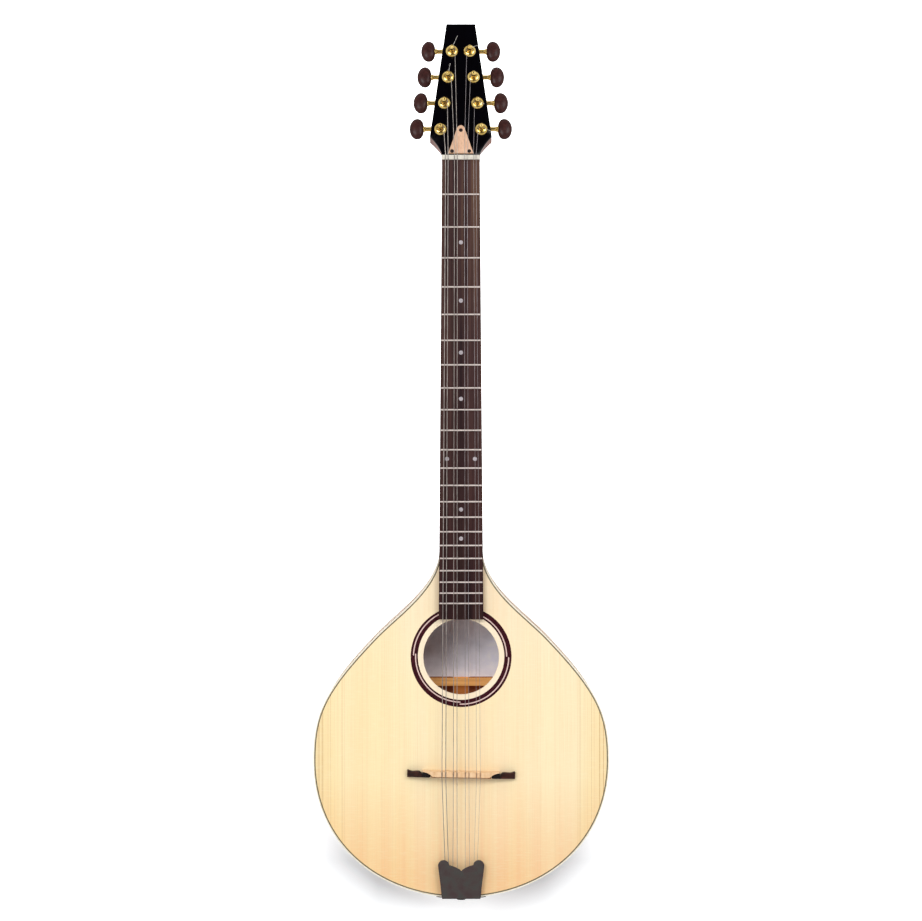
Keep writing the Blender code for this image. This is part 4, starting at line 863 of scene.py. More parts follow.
def head_half_width(along):
    """The headstock widens in a curve up to its shoulder, then narrows evenly to the top."""
    share = np.clip(along / SHOULDER, 0.0, 1.0)
    flare = HEAD_HALF_AT_NUT + (HEAD_HALF_AT_SHOULDER - HEAD_HALF_AT_NUT) * share ** SHOULDER_POWER
    return np.where(along < SHOULDER, flare, HEAD_HALF_AT_SHOULDER - (along - SHOULDER) * math.tan(EDGE_LEAN))


def half_section(half_width, depth, squareness):
    """Across = half width x cos(a)^s and back = depth x sin(a)^s, with a from one edge to the other."""
    angle = np.linspace(0.0, math.pi, 29)
    squareness = squareness[:, None]
    back = np.maximum(np.sin(angle), 0.0) ** squareness
    back[:, [0, -1]] = 0.0
    across = np.sign(np.cos(angle)) * np.abs(np.cos(angle)) ** squareness
    return half_width[:, None] * across, np.reshape(depth, (-1, 1)) * back


def make_neck():
    """The shaft's sections, deeper towards the heel by a power of the share, then those of the headstock."""
    z = np.linspace(JOINT_Z + GAP, NUT_Z - 0.004, 70)
    share = (z - z[0]) / HEEL_LENGTH
    slim = np.interp(z, [z[0] + HEEL_LENGTH, z[-1]], [DEPTH_AT_HEEL, DEPTH_AT_NUT])
    depth = slim + (HEEL_DEPTH - DEPTH_AT_HEEL) * np.clip(1 - share, 0, 1) ** HEEL_POWER
    squareness = np.interp(share, [0.0, 0.12, 0.3, 0.55], [0.5, 0.6, 0.75, 0.85])
    across, back = half_section(board_half_width(z), depth, squareness)
    shaft = join(across, NECK_FRONT_Y + back, z[:, None])
    along = np.array([*np.linspace(0.002, SHOULDER, 16), *np.linspace(SHOULDER + 0.0006, HEAD_LENGTH, 24)])
    squareness = np.interp(along, [0.002, 0.008, 0.0145, SHOULDER], [0.5, 0.2, 0.1, 0.06])
    across, back = half_section(head_half_width(along), HEAD_THICKNESS, squareness)
    drop = UNDERCUT * np.clip(along / SHOULDER, 0, 1) * (along <= SHOULDER + 0.0007)
    lowered = along[:, None] - drop[:, None] * back / HEAD_THICKNESS
    return closed_skin(np.concatenate([shaft, on_head(across, lowered, -back)]))


def make_tongue():
    """The block that carries the end of the fretboard over the soundboard, with softened corners."""
    z = np.array([JOINT_Z + 0.004, BOARD_END_Z + 0.0006])
    side = join(board_half_width(z) - 0.0004, z)
    outline = rounded(np.concatenate([side * [-1.0, 1.0], side[::-1]]), 0.0008)
    return slab(outline, [(0.0, 0.0003), (0.0, 0.0020)], on_front)


make_piece("neck_wood", gather([make_neck(), make_tongue()]), NECK_WOOD, replaces=["neck"])

# %% [markdown]
# ## Headstock facing and rod cover
# A thin black facing covers the headstock's front. Over the truss rod's nut sits a small three-cornered
# plate of pale maple with a round point, held by three dark screws. Their heads are low dishes.

# %% Facing and cover
FACING_TOP = 0.002
COVER_LENGTH, COVER_HALF, COVER_POINT = 0.0325, 0.0134, 0.0042
COVER_BASE = 0.0012
COVER_THICKNESS = 0.0022
SCREW_PLACES = [(0.0, 0.0268), (-0.0093, 0.0036), (0.0089, 0.0036)]
SCREW_HEAD = [(0.0020, -0.0006), (0.0020, 0.0002), (0.0017, 0.0004), (0.0005, 0.0005)]


def make_facing():
    """The headstock's own outline from the nut to the top, with the other side flipped over."""
    along = np.array([*np.linspace(0.0006, SHOULDER, 22), *np.linspace(SHOULDER + 0.002, HEAD_LENGTH, 20)])
    right = join(head_half_width(along), along)
    return slab(np.concatenate([right, flip(right)]), rim(FACING_TOP, 0.0003), on_head)


def make_cover():
    """A triangle whose two long sides run into a round point: base corners, then an arc over the top."""
    centre = COVER_LENGTH - COVER_POINT
    lean = math.atan2(COVER_HALF - COVER_POINT, centre)
    top = arc(COVER_POINT, lean, math.pi - lean, 17, (0.0, centre))
    side = np.linspace((COVER_HALF, COVER_BASE), top[0], 8)[:-1]
    levels = rim(COVER_THICKNESS, 0.0006) + [0.0, FACING_TOP]
    return slab(np.concatenate([side, top, flip(side)]), levels, on_head)


def make_screw(x, along):
    """A flat screw head: a low dish that stands on the cover."""
    out = FACING_TOP + COVER_THICKNESS
    return turned(SCREW_HEAD, lambda across, up, height: on_head(x + across, along + up, out + height), 24)


make_piece("headstock_facing", make_facing(), BLACK, replaces=["headstock_veneer"])
make_piece("rod_cover", make_cover(), COVER_MAPLE, replaces=["truss_rod_cover"])
screws = gather([make_screw(*place) for place in SCREW_PLACES])
make_piece("rod_cover_screws", screws, SCREW_DARK)

# %% [markdown]
# ## Fretboard
# The board is a plain tapered plank. Twenty-two fret wires with half-round crowns are pressed into it: each
# fret stands where the string is shortened by a twelfth of an octave, so its distance from the nut is the
# scale length x (1 - 2 to the power -n/12). Pearl dots mark some of the spaces between them.

# %% Fretboard, frets and dots
SCALE_LENGTH = 0.650
FRET_COUNT = 22
FRET_HALF_WIDTH, FRET_HEIGHT, FRET_DEPTH = 0.00078, 0.0011, 0.0005
FRET_SETBACK, FRET_SLOPE = 0.0008, 0.0009
DOT_RADIUS = 0.0022
DOTS = [(3, 0.0), (5, 0.0), (7, 0.0), (9, 0.0), (12, -0.0147), (12, 0.0147), (15, 0.0), (17, 0.0)]


def fret_z(number):
    """The height of a fret: nut - scale length x (1 - 2^(-n/12))."""
    return NUT_Z - SCALE_LENGTH * (1 - 2 ** (-number / 12))


def on_board(x, z, out):
    """Places on the fretboard's face."""
    return join(x, FRETBOARD_Y - out, z)


def make_board():
    """The tapered plank, with a softened edge round its face."""
    half = BOARD_HALF_AT_NUT
    end = join([-BOARD_HALF_AT_END, BOARD_HALF_AT_END], BOARD_END_Z)
    thickness = NECK_FRONT_Y - FRETBOARD_Y
    outline = rounded([(half, NUT_Z), (-half, NUT_Z), *end], 0.0006, 4)
    return slab(outline, rim(thickness, 0.0004) - [0.0, thickness], on_board)


def make_fret(number):
    """A wire along the board's width: section height = crown x sin(a), with ends that slope in."""
    z = fret_z(number)
    half = board_half_width(z) - FRET_SETBACK
    share = np.array([0.0, 0.35, 0.8, 1.0])
    rise = np.concatenate([share, np.ones(5), share[::-1]])
    end = half - FRET_SLOPE * share
    x = np.concatenate([-end, np.linspace(-half + 0.003, half - 0.003, 5), end[::-1]])
    angle = np.linspace(0.0, math.pi, 11)
    width = FRET_HALF_WIDTH * np.array([*-np.cos(angle), 0.4, -0.4])
    section = np.array([*(FRET_HEIGHT * np.sin(angle) ** 0.8), -FRET_DEPTH, -FRET_DEPTH])
    out = np.where(section > 0, section * np.maximum(rise, 0.15)[:, None], section)
    return closed_skin(on_board(x[:, None], z + width, out))


def make_dot(number, x):
    """A round dot half way between a fret and the one before it."""
    z = (fret_z(number) + fret_z(number - 1)) / 2
    outline = arc(DOT_RADIUS, 0.0, 2 * math.pi, 41, (x, z))[:-1]
    return slab(outline, [(0.0, INLAY_SUNK), (0.0, 0.00002), (0.0002, 0.00005)], on_board)


make_piece("fretboard_wood", make_board(), ROSEWOOD, replaces=["fretboard"])
frets = [make_fret(number) for number in range(1, FRET_COUNT + 1)]
make_piece("fret_wires", gather(frets), FRET_WIRE)
make_piece("position_dots", gather([make_dot(*dot) for dot in DOTS]), PEARL)

# %% [markdown]
# ## Strings
# The course nearest each edge is the heaviest on the bass side and the lightest on the treble side. A
# string is tight, so it runs dead straight between the tailpiece, the saddle, the nut and its post, and
# ends in a helix round the post. The places match the solids of the frame. Only on the post does the wire
# make one turn more than the solid does, with closer turns.

# %% String places
SADDLE_Z = 0.1395
SLANT = math.radians(1.1)
RADII = {-1: (0.00042, 0.00042, 0.00033, 0.00033), 1: (0.00017, 0.00017, 0.00021, 0.00021)}
SPREAD_AT_NUT = (0.0161, 0.0134, 0.0067, 0.0037)
SPREAD_AT_SADDLE = (0.0202, 0.0162, 0.0082, 0.0044)
SPREAD_AT_TAIL = (0.0166, 0.0131, 0.0088, 0.0042)
NUT_STRING_Y = FRETBOARD_Y - 0.0022
SADDLE_STRING_Y = FRONT_Y - 0.0138
TAIL_STRING_Y, TAIL_STRING_Z = FRONT_Y - 0.0047, TAIL_Z + 0.0255
STRINGS = [(side, number) for side in (-1, 1) for number in (1, 2, 3, 4)]


def tuner_name(side, number):
    """Which side the machine is on, and its place counted from the nut."""
    return f"{'bass' if side < 0 else 'treble'}_{number}"


def string_place(side, number, z):
    """Where a string passes a height between nut and saddle."""
    share = (NUT_Z - z) / (NUT_Z - SADDLE_Z)
    near, far = SPREAD_AT_NUT[number - 1], SPREAD_AT_SADDLE[number - 1]
    return side * (near + (far - near) * share), NUT_STRING_Y + (SADDLE_STRING_Y - NUT_STRING_Y) * share, z


# %% [markdown]
# ## Tuning machines
# Each machine has its own axes: X runs out along the button's shaft, Z out of the headstock along the
# post. Shapes are worked out once in these local axes and carried to each machine by its own matrix, which
# is the way a factory makes one part and fits it eight times.

# %% Machine axes
FIRST_TUNER, TUNER_SPACING = 0.0285, 0.0292
TUNER_EDGE = 0.0101
WORM_SIDE = 0.0078
WORM_LEVEL = -HEAD_THICKNESS - 0.0059


def tuner_axes(side, number):
    """The machine's origin on the wooden face, and its three directions as rows."""
    along = FIRST_TUNER + (number - 1) * TUNER_SPACING
    across = head_half_width(along) - TUNER_EDGE / math.cos(EDGE_LEAN)
    out = np.array([side, 0.0, 0.0])
    return on_head(side * across, along, 0.0), np.stack([out, np.cross(HEAD_UP, out), HEAD_UP])


def in_machine(side, number):
    """A function that carries local x, y, z of a machine to world places."""
    origin, axes = tuner_axes(side, number)
    return lambda x, y, z: origin + join(x, y, z) @ axes


def along_shaft(side, number):
    """The same for lathe shapes along the button's shaft: height runs out along X."""
    machine = in_machine(side, number)
    return lambda x, y, z: machine(z, side * WORM_SIDE + y, WORM_LEVEL + x)


# %% Strings
WIND_RADIUS = 0.0026 + GAP
WIND_TURNS = 2.5
TURN_CLEARANCE = 0.00012
WIND_START = 0.0085
SADDLE_EDGE = 0.0033
NUT_EXIT = 0.0006
WIRE_SIDES = 12


def string_path(side, number):
    """Straight stretches between the four bends, then a helix down the post at an even pitch."""
    radius = RADII[side][number - 1]
    edge = SADDLE_Z - side * SPREAD_AT_SADDLE[number - 1] * math.tan(SLANT) - SADDLE_EDGE
    at_nut = string_place(side, number, NUT_Z)
    nut_exit = NUT_BACK_Z + NUT_EXIT
    corners = np.array([
        (side * SPREAD_AT_TAIL[number - 1], TAIL_STRING_Y, TAIL_STRING_Z),
        string_place(side, number, edge),
        at_nut,
        (string_place(side, number, nut_exit)[0], at_nut[1], nut_exit),
    ])
    origin, axes = tuner_axes(side, number)
    local = (corners[-1] - origin) @ axes.T
    wind = WIND_RADIUS + radius
    begin = math.atan2(local[1], local[0]) - side * math.acos(wind / math.hypot(local[0], local[1]))
    turn = np.linspace(0.0, WIND_TURNS, int(WIND_TURNS * 32) + 1)
    angle = begin - side * 2 * math.pi * turn
    level = WIND_START - (2 * radius + TURN_CLEARANCE) * turn
    helix = in_machine(side, number)(wind * np.cos(angle), wind * np.sin(angle), level)
    bends = rounded(np.concatenate([corners, helix[:1]]), 0.0012, 7, closed=False)
    stretches = [
        np.linspace(a, b, 12)[:-1] if np.linalg.norm(b - a) > 0.01 else a[None]
        for a, b in zip(bends, bends[1:])
    ]
    return np.concatenate(stretches + [helix]), radius


for side, number in STRINGS:
    name = tuner_name(side, number)
    path, radius = string_path(side, number)
    length = travelled(path)
    uv = join((length[-1] - length)[:, None], np.arange(WIRE_SIDES) / WIRE_SIDES).reshape(-1, 2)
    make_piece(
        f"string_wire_{name}", tube(path, radius, WIRE_SIDES), WOUND if side < 0 else PLAIN,
        replaces=[f"string_{name}"], sharp=60, uv=uv,
    )

# %% [markdown]
# The post is a lathe shape with a waist for the windings and a domed top. Washer and bushing are one more
# lathe shape that closes the hole in the front. The gear case behind the headstock is a rounded box, with a
# round lid over the worm wheel, a barrel that the shaft runs out of, and an ear with one screw.

# %% Posts, bushings and cases
POST_TOP = 0.0165
CASE_TOP = -HEAD_THICKNESS
CASE_DEPTH = 0.0114
CASE_HALF_LENGTH = 0.0078
CASE_NEAR, CASE_FAR = 0.00755, 0.01275
EAR_REACH, EAR_HALF_WIDTH, EAR_SHEET, EAR_INWARDS = 0.0048, 0.0031, 0.0013, 0.0034
WHEEL_TEETH, WHEEL_ROOT, WHEEL_TOOTH, WHEEL_HALF = 14, 0.0038, 0.0018, 0.0015
POST_PROFILE = rounded([
    (0.0004, WORM_LEVEL - 0.0023), (0.0030, WORM_LEVEL - 0.0023), (0.0030, 0.0053), (0.0026, 0.0060),
    (0.0026, 0.0094), (0.0028, 0.0103), (0.0028, POST_TOP - 0.0022), (0.0022, POST_TOP - 0.0008),
    (0.0010, POST_TOP), (0.0002, POST_TOP),
], 0.0009, 6, closed=False)
BUSHING_PROFILE = rounded([
    (0.0034, -0.0005), (0.00675, 0.0), (0.00672, 0.0007), (0.0063, 0.0015), (0.0055, 0.0021),
    (0.0045, 0.0025), (0.0038, 0.0027), (0.0034, 0.0026),
], 0.0004, 5, closed=False)
BARREL_PROFILE = rounded([
    (0.0028, 0.0040), (0.0040, 0.0040), (0.0040, 0.0092),
    (0.0033, 0.0098), (0.0033, 0.0104), (0.0028, 0.0104),
], 0.0003, 4, closed=False)
LID_PROFILE = [(0.0056, 0.0), (0.0056, 0.0003), (0.0050, 0.0006), (0.0003, 0.0007)]
SCREW_PROFILE = [
    (0.0020, -0.0003), (0.0020, 0.0003), (0.0014, 0.0008),
    (0.0009, 0.0009), (0.0008, 0.0004), (0.0002, 0.0004),
]


def make_wheel(machine):
    """The worm wheel on the post's foot: radius swings between root and tip as the angle goes round."""
    angle = full_turn(WHEEL_TEETH * 12)
    wave = np.clip(0.5 - 0.9 * np.cos(WHEEL_TEETH * (angle - math.pi / 2)), 0.0, 1.0)
    radius = WHEEL_ROOT + WHEEL_TOOTH * wave
    outline = join(radius * np.cos(angle), radius * np.sin(angle))
    return slab(outline, [(0.0, WORM_LEVEL - WHEEL_HALF), (0.0, WORM_LEVEL + WHEEL_HALF)], machine)


def make_case(side, number):
    """Gear case, lid, barrel and bushing, and the ear with the screw that holds them to the headstock."""
    machine = in_machine(side, number)

    def behind(x, y, start):
        """Places behind the headstock, moved by x and y, whose heights count from a depth below it."""
        return lambda a, b, out: machine(a + x, b + y, CASE_TOP - start - out)

    low, high = sorted((-side * CASE_NEAR, side * CASE_FAR))
    box = box_outline(-CASE_HALF_LENGTH, CASE_HALF_LENGTH, low, high, 0.0030, 8)
    start, end = sorted((side * (CASE_FAR - 0.003), side * (CASE_FAR + EAR_REACH)))
    ear = box_outline(-EAR_INWARDS - EAR_HALF_WIDTH, -EAR_INWARDS + EAR_HALF_WIDTH, start, end, 0.0026, 8)
    screw_side = side * (CASE_FAR + EAR_REACH - EAR_HALF_WIDTH)
    return gather([
        slab(box, rim(CASE_DEPTH, 0.0016, 5), behind(0.0, 0.0, 0.0)),
        turned(LID_PROFILE, behind(0.0, 0.0, CASE_DEPTH - 0.0004), 36),
        slab(ear, rim(EAR_SHEET, 0.0004), behind(0.0, 0.0, 0.0)),
        turned(SCREW_PROFILE, behind(-EAR_INWARDS, screw_side, EAR_SHEET), 28),
        turned(BARREL_PROFILE, along_shaft(side, number), 32),
        turned(BUSHING_PROFILE + [0.0, FACING_TOP], machine),
    ])


for side, number in STRINGS:
    name, machine = tuner_name(side, number), in_machine(side, number)
    case = make_case(side, number)
    make_piece(f"machine_{name}_case", case, GOLD, replaces=[f"tuner_{name}_housing"])
    post = gather([turned(POST_PROFILE, machine, 32), make_wheel(machine)])
    make_piece(f"machine_{name}_post", post, GOLD, f"{name}_post_turn", [f"tuner_{name}_post"])

# %% [markdown]
# A button is a flattened egg. Its outline follows |x|^n + |y|^n = 1. With n = 2 the outer end is half an
# ellipse, and with a larger n the end at the shaft is flatter. A gold collar covers the shaft.

# %% Buttons and collars
BUTTON_START, BUTTON_LENGTH = 0.0177, 0.0154
BUTTON_HALF_HEIGHT, BUTTON_HALF_THICKNESS = 0.0115, 0.0043
INNER_FULLNESS, OUTER_FULLNESS = 2.35, 2.0
EDGE_POWER, THIN_POWER = 0.92, 0.7
COLLAR_PROFILE = rounded([
    (0.0024, 0.0107), (0.00245, 0.0107), (0.00245, 0.0160),
    (0.0030, 0.0163), (0.0030, 0.0184), (0.0024, 0.0186),
], 0.0004, 4, closed=False)


def make_button(side, number):
    """Height = half height x (1 - |s|^n)^(1/n), with s from -1 at the shaft to 1 at the outer end."""
    s = -np.cos(np.linspace(0.02, math.pi - 0.02, 31))[:, None]
    fullness = np.where(s < 0, INNER_FULLNESS, OUTER_FULLNESS)
    size = (1 - np.abs(s) ** fullness) ** (1 / fullness)
    x = BUTTON_START + BUTTON_LENGTH * ((s + 1) / 2 - 0.02 * (1 - s ** 2))
    angle = full_turn(48)
    up, out = [np.sign(wave) * np.abs(wave) ** EDGE_POWER for wave in (np.cos(angle), np.sin(angle))]
    tall, thick = BUTTON_HALF_HEIGHT * size * up, BUTTON_HALF_THICKNESS * size ** THIN_POWER * out
    return closed_skin(in_machine(side, number)(x, side * WORM_SIDE + tall, WORM_LEVEL + thick))


for side, number in STRINGS:
    name = tuner_name(side, number)
    body = f"{name}_button_turn"
    button = make_button(side, number)
    make_piece(f"machine_{name}_knob", button, BUTTON, body, [f"tuner_{name}_button"], 60)
    collar = turned(COLLAR_PROFILE, along_shaft(side, number), 32)
    make_piece(f"machine_{name}_collar", collar, GOLD, body)
    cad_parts[f"tuner_{name}_worm_shaft"].data.materials[0] = GOLD

# %% [markdown]
# The player cuts each string a little above its post, so stiff wire ends stand out of some of them. They
# turn with their posts.

# %% Cut wire ends
WIRE_ENDS = {
    (-1, 4): (0.0060, 0.0140, 0.0005),
    (-1, 3): (0.0022, 0.0118, 0.0010),
    (1, 4): (0.0106, 0.0046, -0.0015),
    (1, 2): (0.0072, -0.0040, 0.0),
    (1, 1): (0.0098, -0.0050, 0.0),
}
WIRE_LEVEL, WIRE_LIFT = 0.0108, 0.0004
WIRE_RADIUS = 0.0003


def make_wire_end(side, number, across, along, out):
    """A straight wire with a slight bend half way, starting inside the post."""
    bend = (across * 0.5, along * 0.5, out * 0.3 + WIRE_LIFT)
    steps = np.array([(0.0, 0.0, 0.0), bend, (across, along, out)])
    start = tuner_axes(side, number)[0] + WIRE_LEVEL * HEAD_UP
    world = start + steps @ np.stack([[1.0, 0.0, 0.0], HEAD_RISE, HEAD_UP])
    return tube(even(rounded(world, 0.003, 6, closed=False), 14), WIRE_RADIUS, 10)


for (side, number), reach in WIRE_ENDS.items():
    name = tuner_name(side, number)
    wire = make_wire_end(side, number, *reach)
    make_piece(f"wire_end_{name}", wire, STEEL, f"{name}_post_turn", sharp=60)

# %% [markdown]
# ## Nut
# The nut is a bar of bone with a rounded top and eight slots. Its section is carried across the neck, and
# where a string lies the top is pressed down: height = full - slot depth where |x - string| < slot half.

# %% Nut
NUT_HALF = 0.0200
NUT_TOP = NUT_STRING_Y - 0.0004
NUT_SLOT_HALF, NUT_SLOT_DEPTH = 0.0006, 0.0013


def slotted(half, count, strings, slot_half):
    """Places across a bar, with two more close together at each edge of a slot, and which lie in a slot."""
    edges = (strings[:, None] + [-slot_half - 0.00002, -slot_half, slot_half, slot_half + 0.00002]).ravel()
    x = np.unique(np.concatenate([np.linspace(-half, half, count), edges]))[:, None]
    return x, np.abs(x - strings).min(axis=1, keepdims=True) < slot_half + 0.00001


def make_nut():
    """The rounded section at every place across, with its upper part lower in the slots."""
    strings = np.array([string_place(side, number, NUT_Z)[0] for side, number in STRINGS])
    x, in_slot = slotted(NUT_HALF, 41, strings, NUT_SLOT_HALF)
    corners = [(NECK_FRONT_Y, NUT_Z), (NUT_TOP, NUT_Z), (NUT_TOP, NUT_BACK_Z), (NECK_FRONT_Y, NUT_BACK_Z)]
    y, z = rounded(corners, 0.0011, 6).T
    upper = (NECK_FRONT_Y - y) / (NECK_FRONT_Y - NUT_TOP) > 0.6
    return closed_skin(join(x, y + NUT_SLOT_DEPTH * in_slot * upper, z))


make_piece("nut_bar", make_nut(), BONE, replaces=["nut"])

# %% [markdown]
# ## Bridge
# The floating bridge is held only by the strings. Its dark ends are carved as scrolls: a squared tip, a
# wavy upper edge and a round inner point. They are outlines with a few corners, rounded and raised like a
# cushion. Between them stands a light bar of maple with a notch for each string.

# %% Bridge
BRIDGE_HALF_WIDTH = 0.00385
SCROLL_HEIGHT = 0.0085
SCROLL_FALL = ([0.033, 0.043, 0.0535, 0.057], [1.0, 0.95, 0.66, 0.55])
SCROLL = np.array([
    (0.0570, -0.00385), (0.0570, 0.00385), (0.0556, 0.00375), (0.0527, 0.00245), (0.0480, 0.00285),
    (0.0440, 0.00295), (0.0415, 0.00055), (0.0385, 0.00185), (0.0350, 0.00085), (0.0325, -0.00135),
    (0.0321, -0.00305), (0.0335, -0.00385),
])
SCROLL_REACH = [
    0.0004, 0.0004, 0.0008, 0.0020, 0.0020, 0.0015, 0.0008, 0.0015, 0.0020, 0.0012, 0.0008, 0.0005,
]
FOOT_HALF_LENGTH, FOOT_BACK, FOOT_HEIGHT = 0.0318, -0.0026, 0.0072
BAR_HALF = 0.0408
BAR_TOP = FRONT_Y - SADDLE_STRING_Y + 0.0002 - GAP
BAR_FALL = ([0.026, 0.034, BAR_HALF], [0.0, 0.0035, 0.0058])
BAR_FRONT, BAR_BACK = -0.0031, 0.0037
BAR_LOW = ([0.0305, 0.0325, 0.0360, BAR_HALF], [BAR_FRONT, -0.0008, 0.0010, 0.0022])
BAR_CORNERS = [(BAR_FRONT, 0.0), (-0.0024, 1.0), (0.0030, 1.0), (BAR_BACK, 0.0)]
BAR_SECTION = rounded(BAR_CORNERS, [0.0003, 0.0006, 0.001, 0.0003])
BAR_SLOT_HALF, BAR_SLOT_DEPTH = 0.0007, 0.0010


def on_bridge(x, z, out):
    """Places on the soundboard, turned by the bridge's slant about its middle."""
    turned_z = SADDLE_Z - x * math.sin(SLANT) + z * math.cos(SLANT)
    return join(x * math.cos(SLANT) + z * math.sin(SLANT), FRONT_Y - GAP - out, turned_z)


def make_scroll(side):
    """The outline of one carved end, from its tip along the wavy top to the inner point and back."""
    outline = rounded(SCROLL, SCROLL_REACH, 6)
    return slab(
        outline if side > 0 else flip(outline), rim(SCROLL_HEIGHT, 0.0009, 5),
        lambda x, z, out: on_bridge(x, z, out * np.interp(np.abs(x), *SCROLL_FALL)),
    )


def make_foot():
    """The foot under the light bar, a low brown strip with a rounded front edge."""
    outline = box_outline(-FOOT_HALF_LENGTH, FOOT_HALF_LENGTH, -BRIDGE_HALF_WIDTH, FOOT_BACK, 0.0006, 4)
    return slab(outline, rim(FOOT_HEIGHT, 0.0006), on_bridge)


def make_bar():
    """The maple bar: its top falls away towards both ends, and it is notched under every string."""
    strings = np.array([side * SPREAD_AT_SADDLE[number - 1] for side, number in STRINGS])
    x, in_slot = slotted(BAR_HALF, 61, strings, BAR_SLOT_HALF)
    z, share = BAR_SECTION.T
    height = (BAR_TOP - np.interp(np.abs(x), *BAR_FALL)) * share - BAR_SLOT_DEPTH * in_slot * (share > 0.8)
    low = np.interp(np.abs(x), *BAR_LOW)
    z = low + (z - BAR_FRONT) / (BAR_BACK - BAR_FRONT) * (BAR_BACK - low)
    return closed_skin(on_bridge(x, z, height))


make_piece("bridge_scrolls", gather([make_scroll(-1), make_scroll(1)]), EBONY, replaces=["bridge"])
make_piece("bridge_foot", make_foot(), FOOT_WOOD)
make_piece("bridge_bar", make_bar(), MAPLE, replaces=["bridge_saddle"])

# %% [markdown]
# ## Tailpiece and end pin
# The strings' ends hook on a bar under a lobed cover, which is bent over the tail and held by the end pin.
# The cover's outline is two round lobes and a shallow notch between them. Its face is plain and slightly
# mottled.

# %% Tailpiece
COVER_FACE = 0.0081
SHEET, STRAP_SHEET = 0.0012, 0.0010
TAIL_TOP_Z = TAIL_Z + 0.0409
NOTCH_Z = TAIL_Z + 0.0295
LOBE_RADIUS = 0.0059
LOBE_X, LOBE_Z = 0.0244 - LOBE_RADIUS, TAIL_TOP_Z - LOBE_RADIUS
FOOT_HALF, STRAP_HALF, WALL_X = 0.0205, 0.0265, 0.0240
STRAP_Z = TAIL_Z - 0.0001 - STRAP_SHEET
FOOT_Z = STRAP_Z + 0.0017
HOOK_HALF, HOOK_WIDTH = 0.0195, 0.003


def make_cover_face():
    """Right half: up the side, round the lobe, down a hollow slope to the notch; the left is its mirror."""
    lobe = arc(LOBE_RADIUS, 0.0, math.radians(172), 22, (LOBE_X, LOBE_Z))
    side = (FOOT_HALF, FOOT_Z), (FOOT_HALF + 0.0006, FOOT_Z + 0.012), (0.0236, LOBE_Z - 0.010), lobe[0]
    slope = (0.0126, LOBE_Z + 0.0006), (0.0085, LOBE_Z - 0.0006), (0.0040, NOTCH_Z + 0.0038), (0.0, NOTCH_Z)
    right = np.concatenate([cubic(*side, 18)[:-1], lobe, cubic(*slope, 16)])
    outline = np.concatenate([right, flip(right)[1:]])
    return slab(outline, rim(SHEET, 0.0005, 5) + [0.0, COVER_FACE - SHEET], on_front)


def make_wall(side):
    """A side wall of the cover, from the fold up to the lobe."""
    wall = np.array([
        (FOOT_HALF - SHEET, FOOT_Z + 0.0004), (FOOT_HALF, FOOT_Z + 0.0004),
        (WALL_X, LOBE_Z), (WALL_X - SHEET, LOBE_Z),
    ])
    return slab(wall if side > 0 else flip(wall), [(0.0, 0.0003), (0.0, COVER_FACE - 0.0002)], on_front)


def make_strap():
    """The strap round the tail: it rises as the body's edge does from its lowest point."""
    low = BODY_EDGE[MIDDLE_STEP:MIDDLE_STEP + 40]

    def place(x, y, out):
        """Across, back and out of the strap's lower face."""
        rise = np.interp(np.abs(x), low[:, 0], low[:, 1] - TAIL_Z)
        return join(x, FRONT_Y + y, STRAP_Z + STRAP_SHEET - out + rise)

    outline = box_outline(-STRAP_HALF, STRAP_HALF, 0.0002, 0.0545, 0.004, 7)
    return slab(outline, rim(STRAP_SHEET, 0.0003), place)


def make_fold():
    """The sheet's section where it bends from the face round the tail, carried straight across."""
    face_y, inner_y = FRONT_Y - COVER_FACE, FRONT_Y - GAP
    y, z = rounded([
        (face_y + 0.0001, FOOT_Z + 0.004), (face_y + 0.0001, FOOT_Z), (inner_y - SHEET, FOOT_Z),
        (inner_y - SHEET, STRAP_Z), (FRONT_Y + SHEET, STRAP_Z), (FRONT_Y + SHEET, STRAP_Z + STRAP_SHEET),
        (inner_y, STRAP_Z + STRAP_SHEET), (inner_y, FOOT_Z + SHEET), (face_y + SHEET, FOOT_Z + SHEET),
        (face_y + SHEET, FOOT_Z + 0.004),
    ], [0.0002, 0.0012, 0.0006, 0.0006, 0.0002, 0.0002, 0.0002, 0.0004, 0.0006, 0.0002], 6).T
    half = FOOT_HALF - 0.0002
    return closed_skin(join(np.array([[-half], [half]]), y, z))


def make_hook():
    """The bar that the strings' ends hang on."""
    outline = box_outline(-HOOK_HALF, HOOK_HALF, -HOOK_WIDTH, 0.0, 0.0005, 4) + [0.0, TAIL_STRING_Z - GAP]
    return slab(outline, [(0.0, 0.0006), (0.0, COVER_FACE - 0.0006)], on_front)


tailpiece = gather([make_cover_face(), make_strap(), make_fold(), make_hook(), make_wall(-1), make_wall(1)])
make_piece("tail_cover", tailpiece, TAIL_BRONZE, replaces=["tailpiece"])

# %% End pin
PIN_PROFILE = rounded([
    (0.0004, 0.0), (0.0046, 0.0), (0.0052, 0.0010), (0.0052, 0.0028), (0.0038, 0.0040), (0.0038, 0.0050),
    (0.0052, 0.0064), (0.0052, 0.0074), (0.0034, 0.0074), (0.0031, 0.0284), (0.0004, 0.0284),
], 0.0005, 6, closed=False)
make_piece("strap_pin", turned(PIN_PROFILE, join, 48), EBONY, replaces=["end_pin"])

# %% [markdown]
# ## White wall and light
# The instrument hangs in front of a white wall, lit by two large soft lamps in front and two behind. The
# wall and the floor are seen only by the camera, and from their front side only, so that from behind the
# instrument is not hidden and its back still gets light. The wall glows a little by itself, except close
# to the lower flanks, so that the soft shadow shows only there.

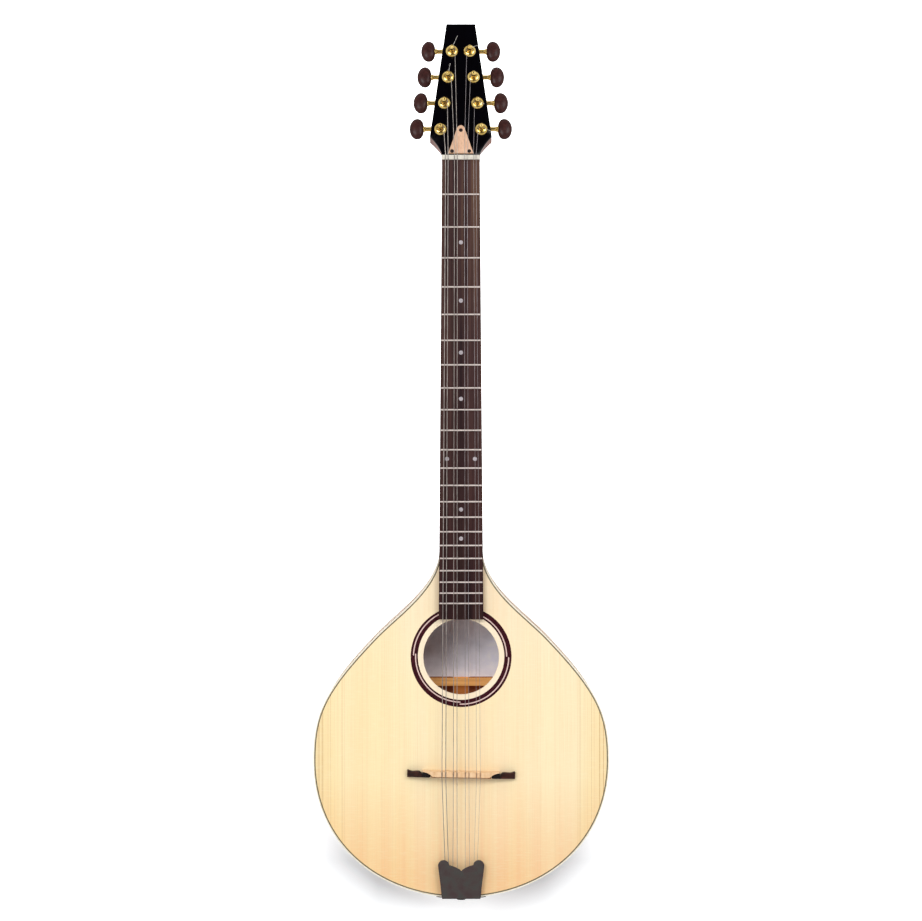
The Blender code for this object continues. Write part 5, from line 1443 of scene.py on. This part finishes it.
# %% Wall and floor
WALL_Y = BACK_Y + 0.004
FLOOR_Z = -0.045
WALL_REACH = 4
WHITE = (1.0, 1.0, 1.0, 1.0)
FULL_GLOW, MIDDLE_GLOW = 0.7, 0.42
MIDDLE_FADE = (0.02, 0.09)
SHADOW_CENTRE = (-0.006, 0.0, 0.155)
SHADOW_EDGE = (0.166, 0.214)
SHADOW_FADE = (0.035, 0.105)


def make_backdrop_finish():
    """White paint for camera rays that meet the front side, with a little glow, and nothing for the rest."""
    new_finish("backdrop_white", (0.9, 0.9, 0.9, 1.0), 0.9)
    speck = noise((40.0, 40.0, 40.0), 4.0)
    paint = ramp(speck, (0.3, (0.85, 0.90, 0.93, 1.0)), (0.7, (0.87, 0.92, 0.95, 1.0)))
    above = span(axis("Z"), 0.0, FULL_GLOW, *SHADOW_FADE)
    middle = span(maths("ABSOLUTE", axis("X")), MIDDLE_GLOW, 0.0, *MIDDLE_FADE)
    outside = span(distance(SHADOW_CENTRE), 0.0, FULL_GLOW, *SHADOW_EDGE)
    glow = maths("ADD", maths("ADD", above, middle), outside)
    front = maths("SUBTRACT", 1.0, node("NewGeometry", "Backfacing"))
    seen = maths("MULTIPLY", front, node("LightPath", "Is Camera Ray"))
    tree = connect(Base_Color=paint, Emission_Strength=glow).node_tree
    shader = tree.nodes["Principled BSDF"]
    shader.inputs["Emission Color"].default_value = WHITE
    shown = node("MixShader", _0=seen, _1=node("BsdfTransparent"), _2=shader.outputs[0])
    tree.links.new(shown, tree.nodes["Material Output"].inputs["Surface"])
    return finish


backdrop = make_backdrop_finish()
for name, near, far in (
    ("wall", (WALL_Y, FLOOR_Z), (WALL_Y, WALL_REACH)),
    ("floor", (-WALL_REACH, FLOOR_Z), (WALL_Y, FLOOR_Z)),
):
    mesh = bpy.data.meshes.new(name)
    corners = [(side * WALL_REACH, *edge) for side, edge in ((-1, near), (1, near), (1, far), (-1, far))]
    mesh.from_pydata(corners, [], [(0, 1, 2, 3)])
    mesh.materials.append(backdrop)
    board = add_object(name, mesh)

# %% [markdown]
# The lamps are squares that look at the middle of the body. The sky gives an even white light, but it is
# dark straight ahead, where the camera stands, so that glossy faces stay dark. The camera sees it white.

# %% Lamps and sky
BODY_MIDDLE = np.array([0.0, 0.0, 0.35])
LAMPS = {
    "key": ((-0.95, -2.6, 1.35), 1.0, 30.0),
    "second": ((1.15, -2.3, 1.75), 1.0, 25.0),
    "back_left": ((-1.6, 2.2, 1.6), 1.4, 16.0),
    "back_right": ((1.9, 2.0, 1.2), 1.4, 12.0),
}
DARK_DIRECTION = (0.0, -0.94, 0.34)
DARK_LEVEL, BRIGHT_LEVEL = 0.10, 0.94
DARK_FROM, DARK_TO = 0.60, 0.90

for name, (place, size, power) in LAMPS.items():
    data = bpy.data.lights.new(name, "AREA")
    data.size = size
    data.energy = power
    lamp = add_object(name, data)
    x, y, z = BODY_MIDDLE - place
    lamp.location = place
    lamp.rotation_euler = (math.atan2(math.hypot(x, y), -z), 0.0, math.atan2(-x, y))

finish = scene.world = bpy.data.worlds.new("sky")
finish.use_nodes = True
direction = node("TexCoord", "Generated")
toward = node("VectorMath", "Value", {"operation": "DOT_PRODUCT"}, _0=direction, _1=DARK_DIRECTION)
level = span(toward, BRIGHT_LEVEL, DARK_LEVEL, DARK_FROM, DARK_TO)
strength = node("Mix", _0=node("LightPath", "Is Camera Ray"), _2=level, _3=1.0)
background = finish.node_tree.nodes["Background"]
background.inputs["Color"].default_value = WHITE
finish.node_tree.links.new(strength, background.inputs["Strength"])
print("lamps:", len(bpy.data.lights))
